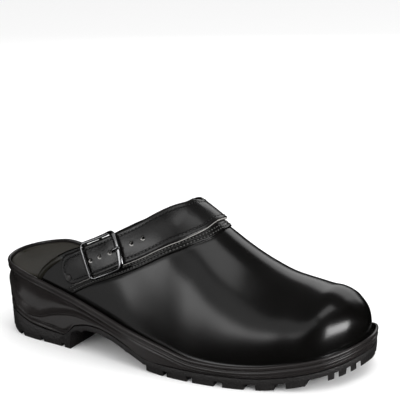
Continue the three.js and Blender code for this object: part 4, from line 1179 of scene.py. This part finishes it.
# Columns: inset from the edge, and height above the leather's thickness.
EDGE_PROFILE = [(4.4, 0.02), (3.95, 0.0), (3.6, -0.06), (3.2, -0.12), (2.8, -0.06), (2.45, 0.0), (1.7, 0.06),
                (0.95, 0.0), (0.5, -0.16), (0.18, -0.45), (0.02, -0.85)]
# Columns: inset from the edge, and height above the band's foot.
FOOT_PROFILE = [(0.02, 0.75), (0.2, 0.3), (0.6, 0.0)]
HIGHLIGHT_SHARE, HIGHLIGHT_ROWS, DECK_FULLNESS = 0.9, 2, 0.22


def band_loop(start, end, half, start_tip, end_tip, inset=0.0):
    """Distances and places across of a band's outline, moved in from its edge."""
    quarter = np.linspace(0, np.pi / 2, 13)
    straight = np.linspace(start + start_tip, end - end_tip, int((end - start) / BAND_STEP))[1:-1]
    straight = np.clip(straight, start + inset + start_tip, end - inset - end_tip)
    distance = np.r_[start + inset + start_tip * (1 - np.cos(quarter)), straight,
                     end - inset - end_tip * (1 - np.cos(quarter[::-1]))]
    across = (half - inset) * np.r_[np.sin(quarter), np.ones(len(straight)), np.sin(quarter[::-1])]
    return np.r_[distance, distance[-2:0:-1]], np.r_[across, -across[-2:0:-1]]


print("the edge of a band has", len(EDGE_PROFILE) + len(FOOT_PROFILE), "rings")


# %% Bands of leather
def band(name, start, end, width, thickness, raised, start_tip, end_tip):
    """A strap of leather with rounded edges, a sewn channel and a painted highlight on its lower edge."""
    def outline_in(inset):
        return band_loop(start, end, width / 2, start_tip, end_tip, inset)

    def ring(inset, height):
        distance, across = outline_in(inset)
        return laid(distance, across, raised(distance) + height)

    share = np.linspace(-1, 1, 11)[1:-1]

    def deck(inset, height):
        distance, across = outline_in(inset)
        half = len(distance) // 2
        distance, across = distance[1:half, None], across[1:half, None] * share
        return laid(distance, across, raised(distance) + height)

    rings = [ring(inset, thickness + rise) for inset, rise in EDGE_PROFILE]
    rings += [ring(inset, rise) for inset, rise in FOOT_PROFILE]
    top_inset, top_rise = EDGE_PROFILE[0]
    decks = (deck(top_inset, thickness + top_rise + DECK_FULLNESS * (1 - share**2)),
             deck(*FOOT_PROFILE[-1]))
    # The faces low on the lower side are painted pale, as a painted highlight.
    highlighted = (outline_in(0.0)[1] < -HIGHLIGHT_SHARE * width / 2).astype(int)
    marks = [0] * (len(EDGE_PROFILE) - HIGHLIGHT_ROWS) + [highlighted] * (HIGHLIGHT_ROWS + len(FOOT_PROFILE) - 1)
    return loop_body(name, rings, decks, (strap_leather, raw_edge), marks)


def tab_raise(distance):
    return GAP + 0 * distance


TAB_END = BUCKLE_DISTANCE - CENTRE_BAR_WIRE / 2 - GAP
strap_shape = (STRAP_START, STRAP_END, STRAP_WIDTH, STRAP_THICKNESS, strap_raise, STRAP_TIP, STRAP_WIDTH / 2)
tab_shape = (0, TAB_END, TAB_WIDTH, TAB_THICKNESS, tab_raise, TAB_TIP, 0)
strap = band("strap_leather", *strap_shape)
finished(band("tab_leather", *tab_shape), "leather", "buckle_tab")

# %% [markdown]
# ## Punched holes
# The holes are real ones, so that they're dark from any side, and a boolean is the plain way to
# punch them. A punch leaves a lip, which is a thin ring laid in the mouth of each hole. Its lower
# half is painted pale as a painted highlight, and that pale crescent is what the eye reads as a hole.

# %% Turned bodies on the strap
def upright_at(distance, across, height):
    """A place above the strap's course, with the direction that stands up from it."""
    place_there = laid(distance, across, height)
    return place_there, unit(laid(distance, across, height + 1) - place_there)


def axes_at(distance, across, height):
    """Place, along, across and up at a spot of the strap."""
    spot, upward = upright_at(distance, across, height)
    ahead = unit(laid(distance + 0.5, across, height) - laid(distance - 0.5, across, height))
    side = unit(np.cross(upward, ahead))
    return spot, np.cross(side, upward), side, upward


def turned_round(name, profile, axes, materials, sides=40):
    """A body turned on a lathe: profile points are (radius, height), first and last on the axis."""
    spot, ahead, side, upward = axes
    angle = np.linspace(0, 2 * np.pi, sides, endpoint=False)
    ring = np.cos(angle)[:, None] * ahead + np.sin(angle)[:, None] * side
    points = np.concatenate([spot + ring * radius + upward * height for radius, height in profile])
    return new_object(name, points, grid(len(profile), sides, wrap=True), materials)


print("a strap's place has axes", np.round(axes_at(STRAP_START, 0.0, 0.0)[3], 2), "pointing up")

# %% Punched holes
HOLES, HOLE_RADIUS, LIP_RADIUS, LIP_WIRE = (32.0, 40.4, 49.2, 65.4, 73.8), 1.25, 1.45, 0.32
PUNCH_TOP, PUNCH_FOOT, LIP_HEIGHT, PAINTED_CRESCENT, PUNCH_SIDES = 1.5, -3.6, 0.16, 0.3, 28
PUNCH_PROFILE = [(0, PUNCH_TOP), (HOLE_RADIUS, PUNCH_TOP), (HOLE_RADIUS, PUNCH_FOOT), (0, PUNCH_FOOT)]
LIP_PROFILE = [(LIP_RADIUS + LIP_WIRE * math.cos(a), LIP_HEIGHT + LIP_WIRE * math.sin(a))
               for a in np.linspace(0, 2 * math.pi, 13)]
punches, lips = [], []
for number, hole in enumerate(HOLES):
    axes = axes_at(hole, 0.0, float(strap_raise(hole)) + STRAP_THICKNESS)
    punches.append(turned_round(f"punch_{number}", PUNCH_PROFILE, axes, [raw_edge], PUNCH_SIDES))
    lip = turned_round(f"hole_lip_{number}", LIP_PROFILE, axes, [strap_leather, raw_edge], PUNCH_SIDES)
    # The lip's lower faces take the pale painted highlight.
    for face in lip.data.polygons:
        face.material_index = int(face.center.z < (axes[0][2] - PAINTED_CRESCENT * LIP_RADIUS) * MM)
    lips.append(lip)
for punch in punches:
    cut = strap.modifiers.new(punch.name, "BOOLEAN")
    cut.operation, cut.solver, cut.object = "DIFFERENCE", "EXACT", punch
with_modifiers(strap)
for punch in punches:
    bpy.data.objects.remove(punch)
finished(strap, "leather", "strap")
for lip in lips:
    finished(lip, "leather")

# %% [markdown]
# ## The buckle
# A stamped frame of flat wire: narrow at the back, far wider at the front, where the prong
# rests, and a little bowed there. A curve with a bevel has one section from end to end, so
# the frame is swept by hand, with a section whose width changes on the way. The centre bar
# drops from the sides and passes under the strap.

# %% Swept bars
DOME = 0.12


def boxy(wave, power):
    return np.sign(wave) * np.abs(wave) ** (2 / power)


def swept(name, centres, uprights, widths, heights, closed=False, sides=18, power=2.6):
    """A steel bar along a line, with a boxy round section and closed, domed ends."""
    if closed:
        ahead = unit(np.roll(centres, -1, 0) - np.roll(centres, 1, 0))
    else:
        ahead = unit(np.gradient(centres, axis=0))
    side = unit(np.cross(uprights, ahead))
    up_there = np.cross(ahead, side)
    angle = np.linspace(0, 2 * np.pi, sides, endpoint=False)
    across = (boxy(np.cos(angle), power) * widths[:, None] / 2)[..., None]
    upwards = (boxy(np.sin(angle), power) * heights[:, None] / 2)[..., None]
    rings = centres[:, None] + side[:, None] * across + up_there[:, None] * upwards
    count = len(centres)
    points, faces = list(rings.reshape(-1, 3)), grid(count, sides, wrap=True)
    if closed:
        last = (count - 1) * sides
        faces += [(last + s, last + (s + 1) % sides, (s + 1) % sides, s) for s in range(sides)]
        return new_object(name, points, faces, [steel])
    for end, outward in ((0, -1), (count - 1, 1)):
        points.append(centres[end] + outward * ahead[end] * heights[end] * DOME)
        hub, start = len(points) - 1, end * sides
        for s in range(sides):
            face = (start + s, start + (s + 1) % sides, hub)
            faces.append(face if outward > 0 else face[::-1])
    return new_object(name, points, faces, [steel])


print("a bar's section has 18 sides, and the ends are domed by", DOME, "of its height")

# %% Buckle frame
REAR_BAR, FRONT_BAR, FRAME_HALF, FRAME_CORNER, FRONT_BOW = 28.6, 55.2, 12.5, 2.6, 1.5
FRAME_TOP, FRAME_SAG = 6.3, 1.5
SIDE_WIDTH, FRONT_WIDTH, FRAME_HEIGHT = 2.2, 3.8, 2.0
quarter = np.linspace(0, np.pi / 2, 9)
corner_x, corner_y = FRAME_CORNER * (np.cos(quarter) - 1), FRAME_CORNER * (np.sin(quarter) - 1)
side_x = np.linspace(FRONT_BAR - FRAME_CORNER, REAR_BAR + FRAME_CORNER, 30)[1:-1]
rear_y = np.linspace(FRAME_HALF - FRAME_CORNER, 0, 12)[1:]
half_x = np.r_[np.full(12, FRONT_BAR), FRONT_BAR + corner_x, side_x, REAR_BAR - corner_x[::-1],
               np.full(len(rear_y), REAR_BAR)]
half_y = np.r_[np.linspace(0, FRAME_HALF - FRAME_CORNER, 13)[:-1], FRAME_HALF + corner_y,
               np.full(len(side_x), FRAME_HALF), FRAME_HALF + corner_y[::-1], rear_y]
frame_x, frame_y = np.r_[half_x, half_x[-2:0:-1]], np.r_[half_y, -half_y[-2:0:-1]]
front = soft_step(frame_x, FRONT_BAR - FRAME_CORNER, FRONT_BAR)
frame_x = frame_x + front * FRONT_BOW * (1 - (frame_y / FRAME_HALF) ** 2)
middle_x = (FRONT_BAR + REAR_BAR) / 2
frame_z = FRAME_TOP - FRAME_SAG * (1 - ((frame_x - middle_x) / (FRONT_BAR - middle_x)) ** 2)
buckle = swept("buckle_loop", *upright_at(frame_x, frame_y, frame_z), mix(SIDE_WIDTH, FRONT_WIDTH, front),
               np.full(len(frame_x), FRAME_HEIGHT), closed=True)
finished(buckle, "metal", "buckle_frame")

# %% Centre bar and prong
BAR_PLACES, BAR_DROPS = np.array([FRAME_HALF, 12.4, 12.1]), np.array([FRAME_TOP - FRAME_SAG, 3.2, 1.9])
BAR_HALF, BAR_CLEARANCE = 11.2, 0.2
bar_y = np.r_[-BAR_PLACES, np.linspace(-BAR_HALF, BAR_HALF, 15), BAR_PLACES[::-1]]
bar_low = GAP + CENTRE_BAR_WIRE / 2 + BAR_CLEARANCE
bar_z = np.r_[BAR_DROPS, np.full(15, bar_low), BAR_DROPS[::-1]]
bar_wire = np.full(len(bar_y), float(CENTRE_BAR_WIRE))
bar_line = upright_at(np.full(len(bar_y), BUCKLE_DISTANCE), bar_y, bar_z)
finished(swept("buckle_centre_bar", *bar_line, bar_wire, bar_wire, power=2.0), "metal")

PRONG_DISTANCE, PRONG_WIRE, PRONG_FLAT, PRONG_POINTS = 49.2, 1.9, 0.85, 22
PRONG_BACK, PRONG_AHEAD, PRONG_SINK, PRONG_DIP = 0.6, 1.9, 0.9, 0.7
PRONG_SEAT, PRONG_CLIMB_END, PRONG_DIP_START = 0.55, 0.62, 0.82
part = np.linspace(0, 1, PRONG_POINTS)
prong_x = mix(PRONG_DISTANCE - PRONG_BACK, FRONT_BAR + FRONT_BOW + PRONG_AHEAD, part)
prong_low = float(strap_raise(PRONG_DISTANCE)) + STRAP_THICKNESS - PRONG_SINK
prong_high = FRAME_TOP + FRAME_HEIGHT / 2 + PRONG_SEAT * PRONG_WIRE
prong_z = (mix(prong_low, prong_high, soft_step(part, 0.0, PRONG_CLIMB_END))
           - PRONG_DIP * soft_step(part, PRONG_DIP_START, 1.0))
prong_line = upright_at(prong_x, np.zeros(PRONG_POINTS), prong_z)
finished(swept("buckle_tongue", *prong_line, np.full(PRONG_POINTS, PRONG_WIRE),
               np.full(PRONG_POINTS, PRONG_WIRE * PRONG_FLAT)), "metal", "buckle_prong")

# %% [markdown]
# ## Rivets
# A rivet shows as a low dome inside a rolled rim. It has the same outline from every side, so it
# is turned from one profile, once on the tab and once at the strap's medial end.

# %% Rivets
RIVET_ACROSS, RIVET_DISTANCE, RIVET_SINK = -4.8, 5.2, 0.2
RIVET_PROFILE = [(0, 1.05), (0.5, 1.03), (1.0, 0.9), (1.25, 0.72), (1.4, 0.62), (1.55, 0.72), (1.8, 0.8),
                 (2.1, 0.74), (2.35, 0.5), (2.45, 0.2), (2.4, -0.1), (0, -0.1)]
for side, distance, height in (("lateral", RIVET_DISTANCE, 2 * GAP + TAB_THICKNESS),
                               ("medial", STRAP_END - RIVET_DISTANCE, 2 * GAP + STRAP_THICKNESS)):
    rivet = turned_round(f"rivet_head_{side}", RIVET_PROFILE,
                         axes_at(distance, RIVET_ACROSS, height - RIVET_SINK), [black_enamel], 48)
    finished(rivet, "metal", f"rivet_{side}")

# %% [markdown]
# ## Sewing
# Every row is the same small thing over and over, a short twist of thread that dips at both ends
# into its holes. A texture of dashes would lie flat, and an array would need a curve of its own
# for every row, so geometry nodes do the sewing: points along a row carry the row's direction
# and the leather's, and each gets one stitch, turned to them, with a slight slant and a
# slight difference in length that come from one fixed seed.

# %% The sewing tree
sew_tree, sew_in, sew_out = node_group(
    "sewn_row", ("Stitch length", "NodeSocketFloat"), ("Thread width", "NodeSocketFloat"),
    ("Slant", "NodeSocketFloat"), ("Seed", "NodeSocketInt"), ("Thread material", "NodeSocketMaterial"))
wire = sew_in["Stitch length"]
bead = wire.node("GeometryNodeMeshUVSphere", {}, {"Segments": 8, "Rings": 7, "Radius": 0.5})
stitch_size = wire.node("ShaderNodeCombineXYZ", {}, {
    "X": wire, "Y": sew_in["Thread width"], "Z": sew_in["Thread width"]})
stitch = wire.node("GeometryNodeTransform", {}, {"Geometry": bead, "Scale": stitch_size})
lengthwise = wire.node("FunctionNodeAlignRotationToVector", {"axis": "X"}, {
    "Vector": vector_named(wire, "ahead")})
flat_on = wire.node("FunctionNodeAlignRotationToVector", {"axis": "Z", "pivot_axis": "X"}, {
    "Rotation": lengthwise, "Vector": vector_named(wire, "upward")})
wobble = wire.node("FunctionNodeRandomValue", {"data_type": "FLOAT"}, {
    "Min": -0.06, "Max": 0.06, "Seed": sew_in["Seed"]})
slanted = wire.node("FunctionNodeEulerToRotation", {}, {
    "Euler": wire.node("ShaderNodeCombineXYZ", {}, {"Z": sew_in["Slant"] + wobble})})
facing = wire.node("FunctionNodeRotateRotation", {"rotation_space": "LOCAL"}, {
    "Rotation": flat_on, "Rotate By": slanted})
uneven = wire.node("FunctionNodeRandomValue", {"data_type": "FLOAT"}, {
    "Min": 0.9, "Max": 1.06, "Seed": sew_in["Seed"] + 1})
sewn = wire.node("GeometryNodeInstanceOnPoints", {}, {
    "Points": sew_in["Geometry"], "Instance": stitch, "Rotation": facing, "Scale": uneven})
sewn = wire.node("GeometryNodeRealizeInstances", {}, {"Geometry": sewn})
sewn = wire.node("GeometryNodeSetMaterial", {}, {"Geometry": sewn, "Material": sew_in["Thread material"]})
sew_tree.links.new(sewn.socket, sew_out.inputs["Geometry"])
print("the sewing tree has", len(sew_tree.nodes), "nodes")


# %% Sewn rows
STITCH_SHARE, STITCH_SLANT, STITCH_SINK = 0.66, 0.12, 0.12
BAND_PITCH, BAND_THREAD = 2.7, 0.9


def sew(name, line, uprights, pitch, seed, yarn, width):
    """Stitches along a line, a pitch apart."""
    run = np.r_[0, np.cumsum(np.linalg.norm(np.diff(line, axis=0), axis=1))]
    stops = np.linspace(0, run[-1], int(round(run[-1] / pitch)) + 1)[:-1] + pitch / 2
    stops = stops[stops < run[-1]]

    def read(values, where):
        return np.stack([np.interp(where, run, values[:, i]) for i in range(3)], -1)

    ahead = unit(read(line, stops + pitch / 4) - read(line, stops - pitch / 4))
    row = grown(name, read(line, stops), {"ahead": ahead, "upward": unit(read(uprights, stops))}, sew_tree, {
        "Stitch length": pitch * STITCH_SHARE * MM, "Thread width": width * MM,
        "Slant": STITCH_SLANT, "Seed": seed, "Thread material": yarn})
    row.data.shade_smooth()
    finished(row, "leather")


def sew_band(name, start, end, width, thickness, raised, start_tip, end_tip, keep, seed):
    """A row round a band, where keep says so of the distance along it."""
    distance, across = band_loop(start, end, width / 2, start_tip, end_tip, STITCH_IN)
    order = np.r_[np.arange(len(distance) // 2, len(distance)), np.arange(len(distance) // 2 + 1)]
    distance, across = distance[order], across[order]
    kept = keep(distance)
    height = raised(distance) + thickness - STITCH_SINK
    sew(name, *upright_at(distance[kept], across[kept], height[kept]), BAND_PITCH, seed, thread, BAND_THREAD)


sew_band("strap_sewing", *strap_shape, lambda distance: distance > 0, 11)
sew_band("tab_sewing", *tab_shape, lambda distance: distance < STRAP_START + 1, 12)

# %% [markdown]
# The two rows beside the seam lie in the channels that the upper's own rows left for them. Their
# thread is thicker and greyer, as it holds the panels together.

# %% Seam rows
STITCH_FRONT, STITCH_BACK, SEAM_SINK, SEAM_PITCH, SEAM_THREAD = 1.8, 4.3, 0.02, 2.5, 1.0
seam_turns = np.linspace(0.02, 0.98, 400)
for name, distance, seed in (("seam_sewing_front", STITCH_FRONT, 13), ("seam_sewing_back", STITCH_BACK, 14)):
    x = beside(seam_at, seam_turns, -distance)
    upward = leather_normal(x, seam_turns)
    line = leather(x, seam_turns) - SEAM_SINK * upward
    sew(name, line, upward, SEAM_PITCH, seed, seam_thread, SEAM_THREAD)

# %% [markdown]
# ## The floor and the light
# The floor is pale paper. White leather would show its light as shading, but black leather shows
# nothing except the reflections of its lights, so each soft box is placed for the streak that
# it draws. The floor and the white world light the scene, and stay out of the reflections.

# %% Floor
FLOOR_HALF, FLOOR_DROP = 9, -0.0001


def paper_fibres(spot):
    fibre = spot.noise(400, 2)
    return fibre.blend((0.92, 0.92, 0.92), (0.95, 0.95, 0.95)), fibre * 0.05 + 0.9, fibre * 0.01


floor_mesh = bpy.data.meshes.new("floor")
floor_mesh.from_pydata([(x * FLOOR_HALF, y * FLOOR_HALF, FLOOR_DROP)
                        for x, y in ((-1, -1), (1, -1), (1, 1), (-1, 1))], [], [(0, 1, 2, 3)])
floor_mesh.materials.append(new_material("paper", paper_fibres, Specular_IOR_Level=0.1))
floor = bpy.data.objects.new("floor", floor_mesh)
bpy.context.collection.objects.link(floor)
floor.visible_glossy = False

# %% [markdown]
# A box is easiest to place by the direction that it's seen in from the clog. Its power is worked
# out from the brightness of its face, so that a box can grow without its streak fading. The
# toe's box is the bright one, and the flank has a slanted strip with a wide soft box above it.
# Four dim ones draw the lower wall, the top of the vamp and the back, and lift the whole.

# %% Lights
LIT_SPOT = Vector((0.06, 0, 0.04))
# Name: azimuth, elevation, distance in metres, size, brightness, roll.
SOFT_BOXES = {
    "toe_light": (79, 18, 1.3, (1.0, 0.38), 12.0, -12),
    "flank_strip": (-23, 17, 1.4, (1.6, 0.24), 3.4, 45),
    "flank_light": (-8, 40, 1.4, (1.6, 0.6), 0.7, 45),
    "floor_glow": (-58, -15, 1.4, (0.9, 0.5), 0.5, 0),
    "high_light": (78, 68, 1.4, (0.9, 0.36), 1.9, 0),
    "back_light": (190, 26, 1.5, (1.6, 0.75), 1.4, 0),
    "top_light": (0, 89, 1.5, (2.6, 2.6), 0.08, 0),
}
for name, (azimuth, elevation, distance, (wide, tall), brightness, roll) in SOFT_BOXES.items():
    lamp = bpy.data.lights.new(name, "AREA")
    lamp.shape, lamp.size, lamp.size_y = "RECTANGLE", wide, tall
    lamp.energy = math.pi * wide * tall * brightness
    offset = towards(math.radians(azimuth), math.radians(elevation)) * distance
    facing_clog = offset.to_track_quat("Z", "Y").to_matrix().to_4x4()
    made = bpy.data.objects.new(name, lamp)
    made.matrix_world = (Matrix.Translation(LIT_SPOT + offset) @ facing_clog
                         @ Matrix.Rotation(math.radians(roll), 4, "Z"))
    bpy.context.collection.objects.link(made)
    made.visible_camera = False
print(len(SOFT_BOXES), "soft boxes placed")

# %% World
world = bpy.data.worlds.new("studio")
world.use_nodes = True
backdrop = world.node_tree.nodes["Background"]
backdrop.inputs["Color"].default_value = (1.0, 1.0, 1.0, 1)
backdrop.inputs["Strength"].default_value = 1.0
world.cycles_visibility.glossy = False
bpy.context.scene.world = world
bpy.context.scene.view_settings.view_transform = "Standard"
print("the world is white, and unseen in reflections")
